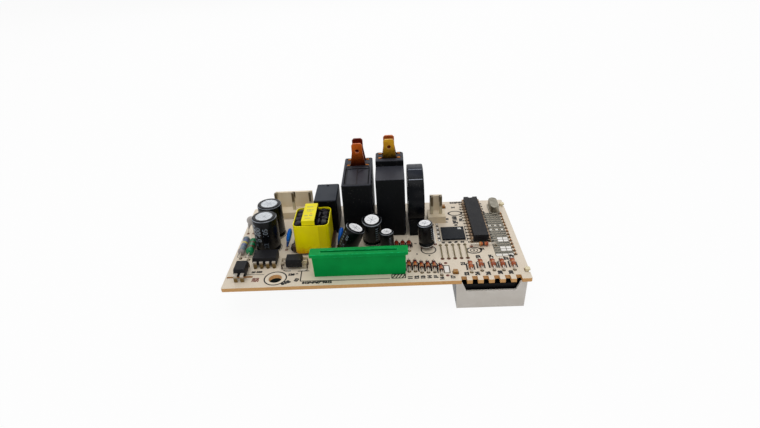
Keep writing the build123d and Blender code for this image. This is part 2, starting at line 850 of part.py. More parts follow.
# name: (x, y, body length, body diameter, lead span, turn)
single_axial_parts = {
    "cross_diode": (cross_diode_x, cross_diode_y, axial_body_length, axial_body_diameter,
                    cross_diode_span, 90),
    "power_resistor": (power_resistor_x, power_resistor_y, power_resistor_length, power_resistor_diameter,
                       power_resistor_span, 0),
    "banded_choke": (choke_x, choke_y, choke_length, choke_diameter, choke_span, 0),
}
for name, (x, y, length, diameter, span, turn) in single_axial_parts.items():
    save(name, axial_body(x, y, length, diameter, turn))
    leads += axial_leads(x, y, length, diameter, span, turn)
save("axial_leads", *leads)

links = [jumper(jumper_x + index * pin_pitch, jumper_y, jumper_length) for index in range(jumper_count)]
links.append(jumper(long_jumper_x, long_jumper_y, long_jumper_length))
save("jumper_wires", *links)
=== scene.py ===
# %% [markdown]
# # The control board of a microwave oven
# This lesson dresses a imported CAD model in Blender. The model is the board that sits behind a microwave
# oven's touch panel: a single-sided laminate with mains parts on the left, three relays and a buzzer at the
# back, a controller chip on the right, and the display in a white holder under the right-hand end.
# The CAD solids are a fixed frame. Here each part gets its real finish, and where a solid is plainer than
# the real part, a finer piece of the same form takes its place.

# %% Load the frame
from math import atan2, cos, degrees, pi, radians, sin, tan, tau

import bmesh
import bpy
from mathutils import Matrix, Vector, noise


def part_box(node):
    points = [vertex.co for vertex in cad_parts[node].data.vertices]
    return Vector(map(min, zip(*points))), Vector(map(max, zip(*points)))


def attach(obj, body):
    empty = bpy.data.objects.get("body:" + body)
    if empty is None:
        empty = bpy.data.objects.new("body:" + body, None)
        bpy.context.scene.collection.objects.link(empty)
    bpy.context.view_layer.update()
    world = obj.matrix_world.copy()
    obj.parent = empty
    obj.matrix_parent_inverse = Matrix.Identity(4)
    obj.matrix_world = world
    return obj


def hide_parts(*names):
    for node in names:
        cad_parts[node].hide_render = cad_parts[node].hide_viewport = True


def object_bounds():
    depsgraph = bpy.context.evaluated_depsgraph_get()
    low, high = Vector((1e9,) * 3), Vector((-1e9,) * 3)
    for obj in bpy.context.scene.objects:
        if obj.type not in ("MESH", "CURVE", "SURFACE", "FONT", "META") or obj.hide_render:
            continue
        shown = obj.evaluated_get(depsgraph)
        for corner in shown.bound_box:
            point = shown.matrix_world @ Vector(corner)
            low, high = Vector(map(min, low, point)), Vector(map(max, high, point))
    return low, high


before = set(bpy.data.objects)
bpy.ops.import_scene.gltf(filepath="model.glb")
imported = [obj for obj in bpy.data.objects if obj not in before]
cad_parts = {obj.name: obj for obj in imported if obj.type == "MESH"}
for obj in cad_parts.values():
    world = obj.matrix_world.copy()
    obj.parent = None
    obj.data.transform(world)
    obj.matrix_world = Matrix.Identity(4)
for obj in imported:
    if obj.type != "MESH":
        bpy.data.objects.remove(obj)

cad_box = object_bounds()
MM = 0.001
board_low, board_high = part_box("circuit_board")


def on_board(x, y, z=0.0):
    """A place on the board in millimetres from its front-left corner, as a point in the frame."""
    return Vector((board_low.x + x * MM, board_low.y + y * MM, z * MM))


print("nodes in the frame:", len(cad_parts))
print("board, mm:", [round(side / MM, 1) for side in board_high - board_low])

# %% [markdown]
# ## Camera
# We look at the board from a little above, near enough that the front looks wider than the back.
# We turn the camera's own axes by three angles: to the side, down, and a slight roll. A matrix made of
# those axes places it exactly, which is easier to repeat than aiming it by hand.

# %% Set the camera
turn_left, look_down, roll = 0.0357046, 0.5105295, -0.0562988
ahead = Vector((-sin(turn_left) * cos(look_down), cos(turn_left) * cos(look_down), -sin(look_down)))
level = Vector((cos(turn_left), sin(turn_left), 0))
upright = level.cross(ahead)
right_hand = level * cos(roll) + upright * sin(roll)
top_side = upright * cos(roll) - level * sin(roll)

camera = bpy.data.objects.new("camera", bpy.data.cameras.new("camera"))
bpy.context.scene.collection.objects.link(camera)
camera.matrix_world = Matrix((right_hand, top_side, -ahead)).transposed().to_4x4()
camera.location = (0.048312, -0.170678, 0.122731)
camera.data.lens = 25.55
camera.data.clip_start = 0.01
bpy.context.scene.camera = camera
print("camera height above the board, mm:", round(camera.location.z / MM))

# %% [markdown]
# ## Tools for the finishes
# Every finish here is a small network of shader nodes. These three helpers add a node with its settings in
# one line, turn a colour from screen values to the linear light that shaders work in, and start a node group,
# which is an effect that many finishes can share.

# %% Nodes, colours and groups
def node_in(tree, kind, **settings):
    """Adds a node to a tree and sets its options and its inputs by name."""
    node = tree.nodes.new(kind)
    for name, value in settings.items():
        if name in node.inputs:
            node.inputs[name].default_value = value
        else:
            setattr(node, name, value)
    return node


def tint(red, green, blue):
    """A colour written as 0 to 255, as the linear values that Blender's shaders work in."""
    def linear(value):
        share = value / 255
        return share / 12.92 if share <= 0.04045 else ((share + 0.055) / 1.055) ** 2.4
    return (linear(red), linear(green), linear(blue), 1.0)


def new_effect(name, inputs, outputs):
    """An empty node group. Inputs are (name, kind, value) and outputs are (name, kind)."""
    effect = bpy.data.node_groups.new(name, "ShaderNodeTree")
    for label, kind, value in inputs:
        entry = effect.interface.new_socket(name=label, in_out="INPUT", socket_type=kind)
        entry.default_value = value
    for label, kind in outputs:
        effect.interface.new_socket(name=label, in_out="OUTPUT", socket_type=kind)
    return effect, effect.nodes.new("NodeGroupInput"), effect.nodes.new("NodeGroupOutput")


COLOUR, VALUE = "NodeSocketColor", "NodeSocketFloat"
print("red shows in linear light as", round(tint(255, 0, 0)[0], 2))

# %% [markdown]
# ### Small moves
# The same few moves come back in every finish: a noise, a stretch from one range to another, a product, a
# sum, a mix of two colours. Each gets a short function, so that a finish reads as a list of what happens to
# the colour. Two more tell where a surface is and how far it looks up.

# %% Small moves with nodes
def clouds(tree, vector, scale, detail=2.0, roughness=0.5):
    """A noise value between 0 and 1, with its scale from a number or a socket."""
    noise = node_in(tree, "ShaderNodeTexNoise", Detail=detail, Roughness=roughness)
    tree.links.new(vector, noise.inputs["Vector"])
    if isinstance(scale, (int, float)):
        noise.inputs["Scale"].default_value = scale
    else:
        tree.links.new(scale, noise.inputs["Scale"])
    return noise.outputs["Fac"]


def ramp(tree, value, low, high, out_low=0.0, out_high=1.0):
    """Stretches a value from one range to another."""
    node = node_in(tree, "ShaderNodeMapRange")
    tree.links.new(value, node.inputs["Value"])
    for place, number in zip((1, 2, 3, 4), (low, high, out_low, out_high)):
        if isinstance(number, (int, float)):
            node.inputs[place].default_value = number
        else:
            tree.links.new(number, node.inputs[place])
    return node.outputs["Result"]


def times(tree, first, second):
    """The product of two values."""
    node = node_in(tree, "ShaderNodeMath", operation="MULTIPLY")
    for place, value in enumerate((first, second)):
        if isinstance(value, (int, float)):
            node.inputs[place].default_value = value
        else:
            tree.links.new(value, node.inputs[place])
    return node.outputs[0]


def plus(tree, first, second):
    """The sum of two values."""
    node = node_in(tree, "ShaderNodeMath", operation="ADD")
    tree.links.new(first, node.inputs[0])
    tree.links.new(second, node.inputs[1])
    return node.outputs[0]


def blend_colour(tree, share, under, over):
    """Mixes two colours. Each is a tuple or a socket."""
    node = node_in(tree, "ShaderNodeMix", data_type="RGBA")
    for place, value in ((0, share), (6, under), (7, over)):
        if isinstance(value, (tuple, float, int)):
            node.inputs[place].default_value = value
        else:
            tree.links.new(value, node.inputs[place])
    return node.outputs[2]


def own_place(tree):
    """The place in the object's own coordinates, which are the frame's for every piece here."""
    return tree.nodes.new("ShaderNodeTexCoord").outputs["Object"]


def facing_up(tree):
    """How far the surface looks up: 1 for a top, 0 for a wall and -1 for an underside."""
    normal = node_in(tree, "ShaderNodeSeparateXYZ")
    tree.links.new(tree.nodes.new("ShaderNodeNewGeometry").outputs["Normal"], normal.inputs[0])
    return normal.outputs["Z"]


print("grey 128 shows in linear light as", round(tint(128, 128, 128)[0], 2))

# %% [markdown]
# ## Background
# The board stands on white. More light would burn out the pale laminate, so the white comes from the
# world's colour, and only where the camera sees it. Everything else sees a mid-grey room, which fills the
# shadows gently.

# %% Background
ROOM_GREY = 0.44
world = bpy.data.worlds.new("white room")
world.use_nodes = True
bpy.context.scene.world = world
sky = world.node_tree
room = sky.nodes["Background"]
room.inputs["Color"].default_value = (ROOM_GREY, ROOM_GREY, ROOM_GREY * 1.02, 1)
white = node_in(sky, "ShaderNodeBackground", Color=(1, 1, 1, 1), Strength=1.0)
choose = node_in(sky, "ShaderNodeMixShader")
sight = node_in(sky, "ShaderNodeLightPath")
sky.links.new(sight.outputs["Is Camera Ray"], choose.inputs[0])
sky.links.new(room.outputs[0], choose.inputs[1])
sky.links.new(white.outputs[0], choose.inputs[2])
sky.links.new(choose.outputs[0], sky.nodes["World Output"].inputs["Surface"])
print("background nodes:", len(sky.nodes))

# %% [markdown]
# ## Floor
# The floor is part white glow and part matt paint. The glow melts it into the white background, and the
# paint keeps a soft shadow. The glow shows only to the camera, mirrors and clear parts, so that it lights
# nothing by itself.

# %% Floor paint
def seen_directly(tree):
    """1 where the camera, a mirror or a clear part looks at the surface, 0 for the light it gives."""
    path = node_in(tree, "ShaderNodeLightPath")
    add = node_in(tree, "ShaderNodeMath", operation="ADD")
    total = node_in(tree, "ShaderNodeMath", operation="ADD", use_clamp=True)
    tree.links.new(path.outputs["Is Camera Ray"], add.inputs[0])
    tree.links.new(path.outputs["Is Glossy Ray"], add.inputs[1])
    tree.links.new(add.outputs[0], total.inputs[0])
    tree.links.new(path.outputs["Is Transmission Ray"], total.inputs[1])
    return total.outputs[0]


GLOW_SHARE = 0.93
PAINT_COLOUR, SHADE_COLOUR = (0.86, 0.86, 0.86, 1), (0.04, 0.045, 0.04, 1)
floor_paint = bpy.data.materials.new("floor_paint")
floor_paint.use_nodes = True
paint = floor_paint.node_tree
matt = paint.nodes["Principled BSDF"]
matt.inputs["Roughness"].default_value = 0.9
matt.inputs["Specular IOR Level"].default_value = 0.1
glow = node_in(paint, "ShaderNodeEmission", Color=(1, 1, 1, 1), Strength=1.0)
glow_share = times(paint, seen_directly(paint), GLOW_SHARE)
floor_mix = node_in(paint, "ShaderNodeMixShader")
paint.links.new(matt.outputs[0], floor_mix.inputs[1])
paint.links.new(glow.outputs[0], floor_mix.inputs[2])
paint.links.new(floor_mix.outputs[0], paint.nodes["Material Output"].inputs["Surface"])
print("floor paint nodes:", len(paint.nodes))

# %% [markdown]
# ### Shade under the board
# A board that lies on a table has a dark underside, and the camera looks down into that dark through the
# mounting hole. So the floor gets a dark core just where the camera sees it through the hole, inside a broad
# soft shade. Where the floor is shaded, it loses both its paint's brightness and its glow.

# %% Shade on the floor
CORE_DARK, CORE_END = 4 * MM, 8.5 * MM
floor_level = cad_box[0][2] - 0.05 * MM
floor_place = own_place(paint)
away = node_in(paint, "ShaderNodeVectorMath", operation="DISTANCE")
away.inputs[1].default_value = on_board(14.5, 24.5, floor_level / MM)
paint.links.new(floor_place, away.inputs[0])
core = ramp(paint, away.outputs["Value"], CORE_DARK, CORE_END, 1.0, 0.0)
side = node_in(paint, "ShaderNodeSeparateXYZ")
paint.links.new(floor_place, side.inputs[0])
broad = 0.5
# axis, where the shade starts, where it is full
for axis, start, full in (("X", board_low.x - 6 * MM, board_low.x + 20 * MM),
                          ("X", board_high.x, board_low.x + 60 * MM),
                          ("Y", board_low.y + 15 * MM, board_low.y + 34 * MM),
                          ("Y", board_high.y + 4 * MM, board_high.y - 26 * MM)):
    broad = times(paint, ramp(paint, side.outputs[axis], start, full), broad)
shaded = ramp(paint, plus(paint, core, broad), 0.0, 1.0)
paint.links.new(times(paint, glow_share, ramp(paint, shaded, 0.0, 1.0, 1.0, 0.0)), floor_mix.inputs[0])
paint.links.new(blend_colour(paint, shaded, PAINT_COLOUR, SHADE_COLOUR), matt.inputs["Base Color"])

bm = bmesh.new()
bmesh.ops.create_grid(bm, x_segments=1, y_segments=1, size=4.0,
                      matrix=Matrix.Translation((0, 0, floor_level)))
floor_mesh = bpy.data.meshes.new("floor")
bm.to_mesh(floor_mesh)
bm.free()
floor_mesh.materials.append(floor_paint)
floor = bpy.data.objects.new("floor", floor_mesh)
bpy.context.scene.collection.objects.link(floor)
print("floor level, mm:", round(floor_level / MM, 2))

# %% [markdown]
# ## Lamps
# The lamps are large soft boxes, as in a product studio: one overhead, a broad one behind that gives the
# black cases their grey tops, a slim one at the left and a weak one in front. A lamp's power is its
# brightness times pi times its area, so that a bigger box is softer and not brighter.

# %% Lamps
middle_of_board = (board_low + board_high) / 2


def soft_box(name, place, width, height, brightness):
    """A rectangular lamp that faces the middle of the board."""
    light = bpy.data.lights.new(name, "AREA")
    light.shape = "RECTANGLE"
    light.size = width
    light.size_y = height
    light.energy = brightness * pi * width * height
    lamp = bpy.data.objects.new(name, light)
    lamp.location = place
    facing = middle_of_board - Vector(place)
    lamp.rotation_euler = facing.to_track_quat("-Z", "Y").to_euler()
    bpy.context.scene.collection.objects.link(lamp)
    print(name, "power, W:", round(light.energy, 2))


# name, place in metres, width, height, brightness
soft_box("overhead_box", (0.0, -0.05, 0.85), 0.9, 0.7, 1.65)
soft_box("rear_box", (0.05, 0.75, 0.42), 1.1, 0.5, 1.0)
soft_box("left_box", (-0.5, -0.35, 0.55), 0.12, 0.4, 1.2)
soft_box("front_box", (0.25, -0.7, 0.35), 0.5, 0.35, 0.7)
bpy.context.scene.view_settings.view_transform = "Standard"

# %% [markdown]
# ## Effects that many finishes share
# Moulded plastic is never one flat colour: the colour drifts a little, the surface has a fine grain, dust
# lies on it in specks, and its edges are paler, partly from wear and partly as a painted highlight where a
# bevel catches the light. We build that once as a node group with named inputs, and each plastic uses it with
# its own values. Which edges are paler comes from a face attribute that the pieces carry.

# %% The moulded surface effect
moulded, given, made = new_effect(
    "moulded_surface",
    [("Colour", COLOUR, (0.5, 0.5, 0.5, 1)), ("Drift Colour", COLOUR, (0.4, 0.4, 0.4, 1)),
     ("Wear And Glint Colour", COLOUR, (0.6, 0.6, 0.6, 1)), ("Grain Scale", VALUE, 3500.0),
     ("Roughness", VALUE, 0.4), ("Roughness Spread", VALUE, 0.1), ("Dust", VALUE, 0.1)],
    [("Colour", COLOUR), ("Roughness", VALUE), ("Height", VALUE)])
place = own_place(moulded)
drift = ramp(moulded, clouds(moulded, place, 140.0, 3.0), 0.35, 0.68)
grain = clouds(moulded, place, given.outputs["Grain Scale"], 3.0, 0.6)
specks = ramp(moulded, clouds(moulded, place, 1900.0, 1.0), 0.70, 0.76)
# Marked edges turn paler: partly wear, partly a painted highlight on the bevels.
wear_and_glint_faces = node_in(moulded, "ShaderNodeAttribute", attribute_name="wear_and_glint_edge")
patchy = ramp(moulded, clouds(moulded, place, 700.0, 2.0), 0.42, 0.62, 0.15, 0.8)
wear_and_glint_share = times(moulded, wear_and_glint_faces.outputs["Fac"], patchy)
colour = blend_colour(moulded, drift, given.outputs["Colour"], given.outputs["Drift Colour"])
colour = blend_colour(moulded, wear_and_glint_share, colour, given.outputs["Wear And Glint Colour"])
dusty = times(moulded, specks, given.outputs["Dust"])
colour = blend_colour(moulded, dusty, colour, tint(205, 200, 190))
spread = times(moulded, given.outputs["Roughness Spread"], drift)
rough = plus(moulded, given.outputs["Roughness"], spread)
rough = plus(moulded, rough, times(moulded, dusty, 0.5))
moulded.links.new(colour, made.inputs["Colour"])
moulded.links.new(rough, made.inputs["Roughness"])
moulded.links.new(plus(moulded, grain, times(moulded, specks, 0.4)), made.inputs["Height"])
print("moulded surface nodes:", len(moulded.nodes))

# %% [markdown]
# ### Metal
# The second group does the same for metal. Rolling and drawing leave a grain that is long in one direction,
# so the noise is squeezed along Z. Tarnish comes in clouds, and makes the surface duller where it lies.

# %% The drawn metal effect
# Marked metal edges turn paler: partly wear, partly a painted highlight.
WEAR_AND_GLINT_BRIGHT = 0.22
drawn, given, made = new_effect(
    "drawn_metal",
    [("Colour", COLOUR, (0.7, 0.7, 0.7, 1)), ("Tarnish Colour", COLOUR, (0.4, 0.35, 0.3, 1)),
     ("Tarnish", VALUE, 0.4), ("Tarnish Scale", VALUE, 500.0), ("Roughness", VALUE, 0.3),
     ("Grain Length", VALUE, 6.0)],
    [("Colour", COLOUR), ("Roughness", VALUE), ("Height", VALUE)])
place = own_place(drawn)
stretch = node_in(drawn, "ShaderNodeMapping")
sides = node_in(drawn, "ShaderNodeCombineXYZ", X=1.0, Z=1.0)
shorter = node_in(drawn, "ShaderNodeMath", operation="DIVIDE")
shorter.inputs[0].default_value = 1.0
drawn.links.new(given.outputs["Grain Length"], shorter.inputs[1])
drawn.links.new(shorter.outputs[0], sides.inputs["Z"])
drawn.links.new(place, stretch.inputs["Vector"])
drawn.links.new(sides.outputs[0], stretch.inputs["Scale"])
streaks = clouds(drawn, stretch.outputs[0], 6000.0, 3.0, 0.6)
cloudy = ramp(drawn, clouds(drawn, place, given.outputs["Tarnish Scale"], 3.0), 0.38, 0.7)
wear_and_glint_faces = node_in(drawn, "ShaderNodeAttribute", attribute_name="wear_and_glint_edge")
dull = times(drawn, cloudy, given.outputs["Tarnish"])
colour = blend_colour(drawn, dull, given.outputs["Colour"], given.outputs["Tarnish Colour"])
colour = blend_colour(drawn, times(drawn, wear_and_glint_faces.outputs["Fac"], WEAR_AND_GLINT_BRIGHT), colour, tint(255, 244, 225))
drawn.links.new(colour, made.inputs["Colour"])
uneven = ramp(drawn, streaks, 0.3, 0.7, -0.06, 0.10)
drawn.links.new(plus(drawn, plus(drawn, given.outputs["Roughness"], uneven), times(drawn, dull, 0.3)),
                made.inputs["Roughness"])
drawn.links.new(streaks, made.inputs["Height"])
print("drawn metal nodes:", len(drawn.nodes))

# %% [markdown]
# ## Finishes
# With the two groups, a finish is a few lines: its colour, the colour it drifts to, the colour of its worn
# edges with their painted highlight, and how rough it is. The values that are the same all over, such as how
# strong the gloss is, are set on the shader itself, because a finish that is exported keeps them only there.

# %% Make a plastic and a metal
finish = {}


def new_finish(name):
    """A new material in the list of finishes, with its node tree and its shader."""
    material = bpy.data.materials.new(name)
    material.use_nodes = True
    finish[name] = material
    return material, material.node_tree, material.node_tree.nodes["Principled BSDF"]


def use_effect(tree, shader, effect, bump, distance, values):
    """Places a group in a material, sets its values and feeds the shader and a bump from it."""
    group = node_in(tree, "ShaderNodeGroup", node_tree=effect)
    for name, value in values.items():
        group.inputs[name].default_value = value
    relief = node_in(tree, "ShaderNodeBump", Strength=bump, Distance=distance)
    tree.links.new(group.outputs["Colour"], shader.inputs["Base Color"])
    tree.links.new(group.outputs["Roughness"], shader.inputs["Roughness"])
    tree.links.new(group.outputs["Height"], relief.inputs["Height"])
    tree.links.new(relief.outputs["Normal"], shader.inputs["Normal"])


def plastic(name, colour, drift, wear_and_glint, rough, spread=0.08, dust=0.08, grain=3500.0, bump=0.12, gloss=0.5):
    """A moulded, dipped or printed finish."""
    material, tree, shader = new_finish(name)
    use_effect(tree, shader, moulded, bump, 0.02 * MM, {
        "Colour": tint(*colour), "Drift Colour": tint(*drift), "Wear And Glint Colour": tint(*wear_and_glint),
        "Grain Scale": grain, "Roughness": rough, "Roughness Spread": spread, "Dust": dust})
    shader.inputs["Specular IOR Level"].default_value = gloss
    return material


def metal(name, colour, tarnish_colour, tarnish, rough, scale=500.0, share=1.0):
    """A bare metal finish. A dull or tinned surface shows only a share of a clean metal's mirror."""
    material, tree, shader = new_finish(name)
    use_effect(tree, shader, drawn, 0.15, 0.01 * MM, {
        "Colour": tint(*colour), "Tarnish Colour": tint(*tarnish_colour), "Tarnish": tarnish,
        "Tarnish Scale": scale, "Roughness": rough})
    shader.inputs["Metallic"].default_value = share
    return material


print("a plastic and a metal can be made now")

# %% [markdown]
# ### Plastics
# Each line is one moulded, dipped or taped surface: its name, its three colours, its roughness, and what is
# special to it. The blacks have a weak gloss, because a strong one would mirror the white floor as grey.

# %% Plastics
# name, colour, drift, edge colour (wear and painted highlight), roughness
plastic("display_black", (8, 8, 10), (12, 12, 14), (40, 40, 42), 0.3, gloss=0.12)
plastic("relay_black", (5, 6, 9), (8, 9, 13), (44, 46, 54), 0.46, gloss=0.12)
plastic("small_relay_black", (5, 6, 10), (9, 10, 14), (40, 42, 50), 0.42, gloss=0.12)
plastic("relay_base_black", (6, 6, 7), (10, 10, 10), (26, 26, 26), 0.5, gloss=0.15)
plastic("buzzer_black", (3, 5, 9), (6, 9, 14), (40, 45, 56), 0.24, gloss=0.12)
plastic("transformer_black", (6, 6, 8), (12, 9, 14), (26, 22, 26), 0.6, gloss=0.08)
plastic("transformer_lump", (3, 3, 6), (28, 14, 36), (52, 42, 34), 0.24, spread=0.3, dust=0.01,
        grain=900.0, bump=0.7, gloss=0.14)
plastic("yellow_tape", (246, 232, 0), (236, 218, 0), (252, 244, 60), 0.3, dust=0.02, gloss=0.12)
plastic("former_brown", (34, 24, 20), (74, 44, 26), (110, 82, 56), 0.4)
plastic("connector_green", (0, 150, 68), (0, 138, 62), (30, 200, 116), 0.42, dust=0.02, gloss=0.06)
plastic("header_cream", (232, 218, 192), (218, 200, 168), (240, 232, 214), 0.45, gloss=0.3)
plastic("chip_black", (15, 15, 18), (21, 21, 26), (46, 46, 52), 0.5, gloss=0.22, grain=5200.0, bump=0.25)
plastic("slate_chip", (14, 19, 25), (22, 27, 34), (60, 64, 72), 0.45, gloss=0.12, grain=5200.0, bump=0.2)
plastic("capacitor_sleeve", (5, 6, 9), (9, 11, 14), (34, 38, 46), 0.22, spread=0.1, dust=0.04, gloss=0.16)
plastic("rubber_bung", (18, 17, 16), (26, 24, 22), (40, 38, 36), 0.7, gloss=0.2)
plastic("disc_blue", (0, 108, 212), (0, 80, 178), (60, 150, 230), 0.24, spread=0.12, gloss=0.3)
plastic("disc_grey", (196, 190, 184), (178, 172, 168), (214, 208, 204), 0.3)
plastic("resistor_grey", (112, 128, 138), (96, 112, 126), (150, 160, 166), 0.34)
plastic("choke_green", (8, 138, 84), (6, 106, 60), (70, 170, 120), 0.26)
print("plastics:", len(finish))

# %% [markdown]
# ### Metals
# Tinned leads are dull, tabs are bare copper or brass, and cans are brushed aluminium. Tarnish on a part that
# has been handled or heated is stronger, and a low share keeps a pale surface from mirroring the dark room.

# %% Metals
# name, colour, tarnish, how much of it, roughness
metal("tinned", (226, 220, 208), (172, 150, 116), 0.4, 0.36, share=0.8)
metal("link_wire", (150, 138, 104), (96, 78, 48), 0.6, 0.42, share=0.7)
# The controller chip's leads carry heavy dark tarnish, which also stands as painted shade between the legs.
metal("lead_tan", (178, 148, 116), (64, 38, 26), 0.95, 0.45, scale=420.0, share=0.4)
metal("copper_tab", (202, 96, 32), (136, 50, 16), 0.5, 0.36, scale=260.0)
metal("brass_tab", (204, 156, 40), (162, 96, 22), 0.45, 0.3, scale=260.0)
metal("crystal_can", (148, 143, 130), (120, 114, 100), 0.45, 0.4)
metal("capacitor_can", (214, 218, 221), (176, 181, 186), 0.6, 0.4, scale=1100.0, share=0.4)
metal("bright_can", (255, 255, 255), (230, 233, 236), 0.5, 0.42, scale=1100.0, share=0.15)
metal("can_score", (158, 162, 166), (136, 140, 145), 0.4, 0.5, share=0.4)
metal("solder", (196, 198, 200), (150, 150, 148), 0.4, 0.28, scale=900.0)
metal("copper_tab_rear", (132, 40, 22), (84, 20, 12), 0.5, 0.36, scale=260.0)
metal("brass_tab_rear", (214, 122, 62), (170, 78, 30), 0.5, 0.36, scale=260.0)
metal("chip_leg", (214, 208, 198), (176, 160, 136), 0.6, 0.38, share=0.5)
metal("dark_leg", (170, 158, 136), (92, 66, 40), 0.8, 0.4, share=0.4)
metal("header_pin", (96, 84, 60), (120, 104, 76), 0.5, 0.4, share=0.4)
metal("display_pin", (190, 120, 56), (104, 84, 34), 0.8, 0.4, scale=700.0, share=0.6)
metal("bright_link", (244, 242, 238), (200, 192, 178), 0.3, 0.3, share=0.6)
print("plastics and metals:", len(finish))

# %% [markdown]
# ### Finishes that change over a piece
# Some colours change with height: a tab darkens towards the case as painted shade, a lead darkens towards its
# foot, and tape turns a darker orange low down. Others change with direction: a black case is painted grey on
# top, as a painted sheen for the sky it would mirror. Both wrap a second colour round the one that feeds the
# shader.

# %% Fading and greying
def change_colour(material, share, colour):
    """Mixes a second colour over a finish, by a share between 0 and 1."""
    tree = material.node_tree
    base = tree.nodes["Principled BSDF"].inputs["Base Color"]
    tree.links.new(blend_colour(tree, share, base.links[0].from_socket, tint(*colour)), base)


def fade_with_height(material, colour, low, high, patchiness=0.0):
    """Lets a finish fade to another colour from high down to low, in millimetres in the frame."""
    tree = material.node_tree
    place = own_place(tree)
    split = node_in(tree, "ShaderNodeSeparateXYZ")
    tree.links.new(place, split.inputs[0])
    level = split.outputs["Z"]
    if patchiness:
        level = plus(tree, level, ramp(tree, clouds(tree, place, 900.0), 0.3, 0.7, -patchiness * MM,
                                       patchiness * MM))
    change_colour(material, ramp(tree, level, high * MM, low * MM), colour)


def paint_sheen_on_top(material, colour, steep=0.6):
    """Paints the faces that look up in another colour, as a painted sheen on a black case that mirrors the
    sky.
    """
    tree = material.node_tree
    change_colour(material, ramp(tree, facing_up(tree), steep, steep + 0.12), colour)


# Painted shade: the tabs darken towards the case.
fade_with_height(finish["copper_tab"], (84, 32, 12), 25.6, 31.0, 0.5)
fade_with_height(finish["brass_tab"], (86, 60, 12), 30.2, 35.2, 0.6)
fade_with_height(finish["brass_tab_rear"], (110, 62, 14), 30.0, 34.0)
fade_with_height(finish["yellow_tape"], (216, 158, 8), 0.8, 4.5, 1.2)
fade_with_height(finish["chip_leg"], (122, 100, 56), 1.6, 2.7, 0.2)
fade_with_height(finish["dark_leg"], (64, 38, 24), 1.7, 2.6, 0.2)
fade_with_height(finish["header_pin"], (206, 196, 168), 6.6, 7.6, 0.3)
# Painted sheen: the upward faces of the black cases are made grey.
paint_sheen_on_top(finish["relay_black"], (55, 56, 63))
paint_sheen_on_top(finish["small_relay_black"], (43, 48, 57))
paint_sheen_on_top(finish["buzzer_black"], (35, 39, 48), steep=0.8)
print("nodes in the left tabs' finish:", len(finish["copper_tab"].node_tree.nodes))

# %% [markdown]
# ## Making and dressing pieces
# Every new piece ends in the same way: its doubles are merged, its faces are turned outward, sharp edges are
# marked so that the rest shades smoothly, and it gets its finishes. Then it rides on the frame's body, and
# the
# CAD nodes it stands for are hidden. Some CAD nodes are good enough as they are, and get only a finish.

# %% Finish a piece
SAME_PLACE = 0.5e-6


def finish_piece(name, bm, materials, stands_for=(), smooth=35.0, weighted=False):
    """Closes and turns out a mesh, gives it its finishes, and lets it ride on the frame."""
    bmesh.ops.remove_doubles(bm, verts=bm.verts, dist=SAME_PLACE)
    bmesh.ops.recalc_face_normals(bm, faces=bm.faces)
    mesh = bpy.data.meshes.new(name)
    bm.to_mesh(mesh)
    bm.free()
    mesh.shade_smooth()
    mesh.set_sharp_from_angle(angle=radians(smooth))
    for material in materials:
        mesh.materials.append(finish[material])
    piece = bpy.data.objects.new(name, mesh)
    bpy.context.scene.collection.objects.link(piece)
    if weighted:
        piece.modifiers.new("flat_faces_stay_flat", "WEIGHTED_NORMAL").keep_sharp = True
    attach(piece, "root")
    if stands_for:
        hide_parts(*stands_for)
    print(name, "faces:", len(mesh.polygons))
    return piece


def use_slot(faces, slot):
    """Gives faces the finish in this slot of their piece."""
    for face in faces:
        face.material_index = slot


def dress(node, material):
    """Gives a CAD node that keeps its own shape a better finish."""
    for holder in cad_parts[node].material_slots:
        holder.material = finish[material]


print("pieces can be finished now")

# %% [markdown]
# ### Softening
# A moulded case has soft edges that catch the light. The CAD solid's edges are sharp, so we take a copy,
# merge its loose triangles into whole faces, and bevel the edges by a tenth or two of a millimetre. The new
# faces are marked in a face attribute, so the finish can make exactly those edges paler, as wear and as a
# painted highlight. The copy then stands for the CAD node, with the same form.

# %% Soften a CAD solid
SHARP_EDGE = radians(28)


def whole_copy(node):
    """A CAD node's shape as whole faces in a new mesh."""
    bm = bmesh.new()
    bm.from_mesh(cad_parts[node].data)
    bmesh.ops.remove_doubles(bm, verts=bm.verts, dist=1e-6)
    bmesh.ops.dissolve_limit(bm, angle_limit=radians(0.4), verts=bm.verts, edges=bm.edges)
    return bm


def round_edges(bm, edges, width, segments=2):
    """Bevels edges by a width in millimetres, and gives back the new faces."""
    return bmesh.ops.bevel(bm, geom=list(edges), offset=width * MM, offset_type="OFFSET", affect="EDGES",
                           segments=segments, profile=0.5, material=-1, clamp_overlap=True)["faces"]


def round_wear_and_glint_edges(bm, width, spared_slot=None):
    """Rounds the sharp edges and marks them for wear and a painted highlight, but not round faces with the
    spared finish.
    """
    wear_and_glint = bm.faces.layers.float.new("wear_and_glint_edge")
    edges = [edge for edge in bm.edges if len(edge.link_faces) == 2 and edge.calc_face_angle() > SHARP_EDGE
             and not any(face.material_index == spared_slot for face in edge.link_faces)]
    for face in round_edges(bm, edges, width):
        face[wear_and_glint] = 1.0


def soften(node, width, material):
    """Replaces a CAD node by a copy of the same form with soft edges, slightly worn and painted paler as a
    highlight.
    """
    bm = whole_copy(node)
    round_wear_and_glint_edges(bm, width)
    return finish_piece(node + "_dressed", bm, [material], [node], weighted=True)


print("edges count as sharp over, degrees:", round(degrees(SHARP_EDGE)))

# %% [markdown]
# ### Parts of a piece
# A piece that the CAD lacks is put together from parts: small boxes for strokes and patches, and turned
# bodies for what is round. Each part is made at the origin, where its sizes are easy to read, and then set on
# the board by a matrix.

# %% Boxes, turned parts and their places
def rotated(angle, axis):
    """A turn by an angle in degrees about an axis."""
    return Matrix.Rotation(radians(angle), 4, axis)


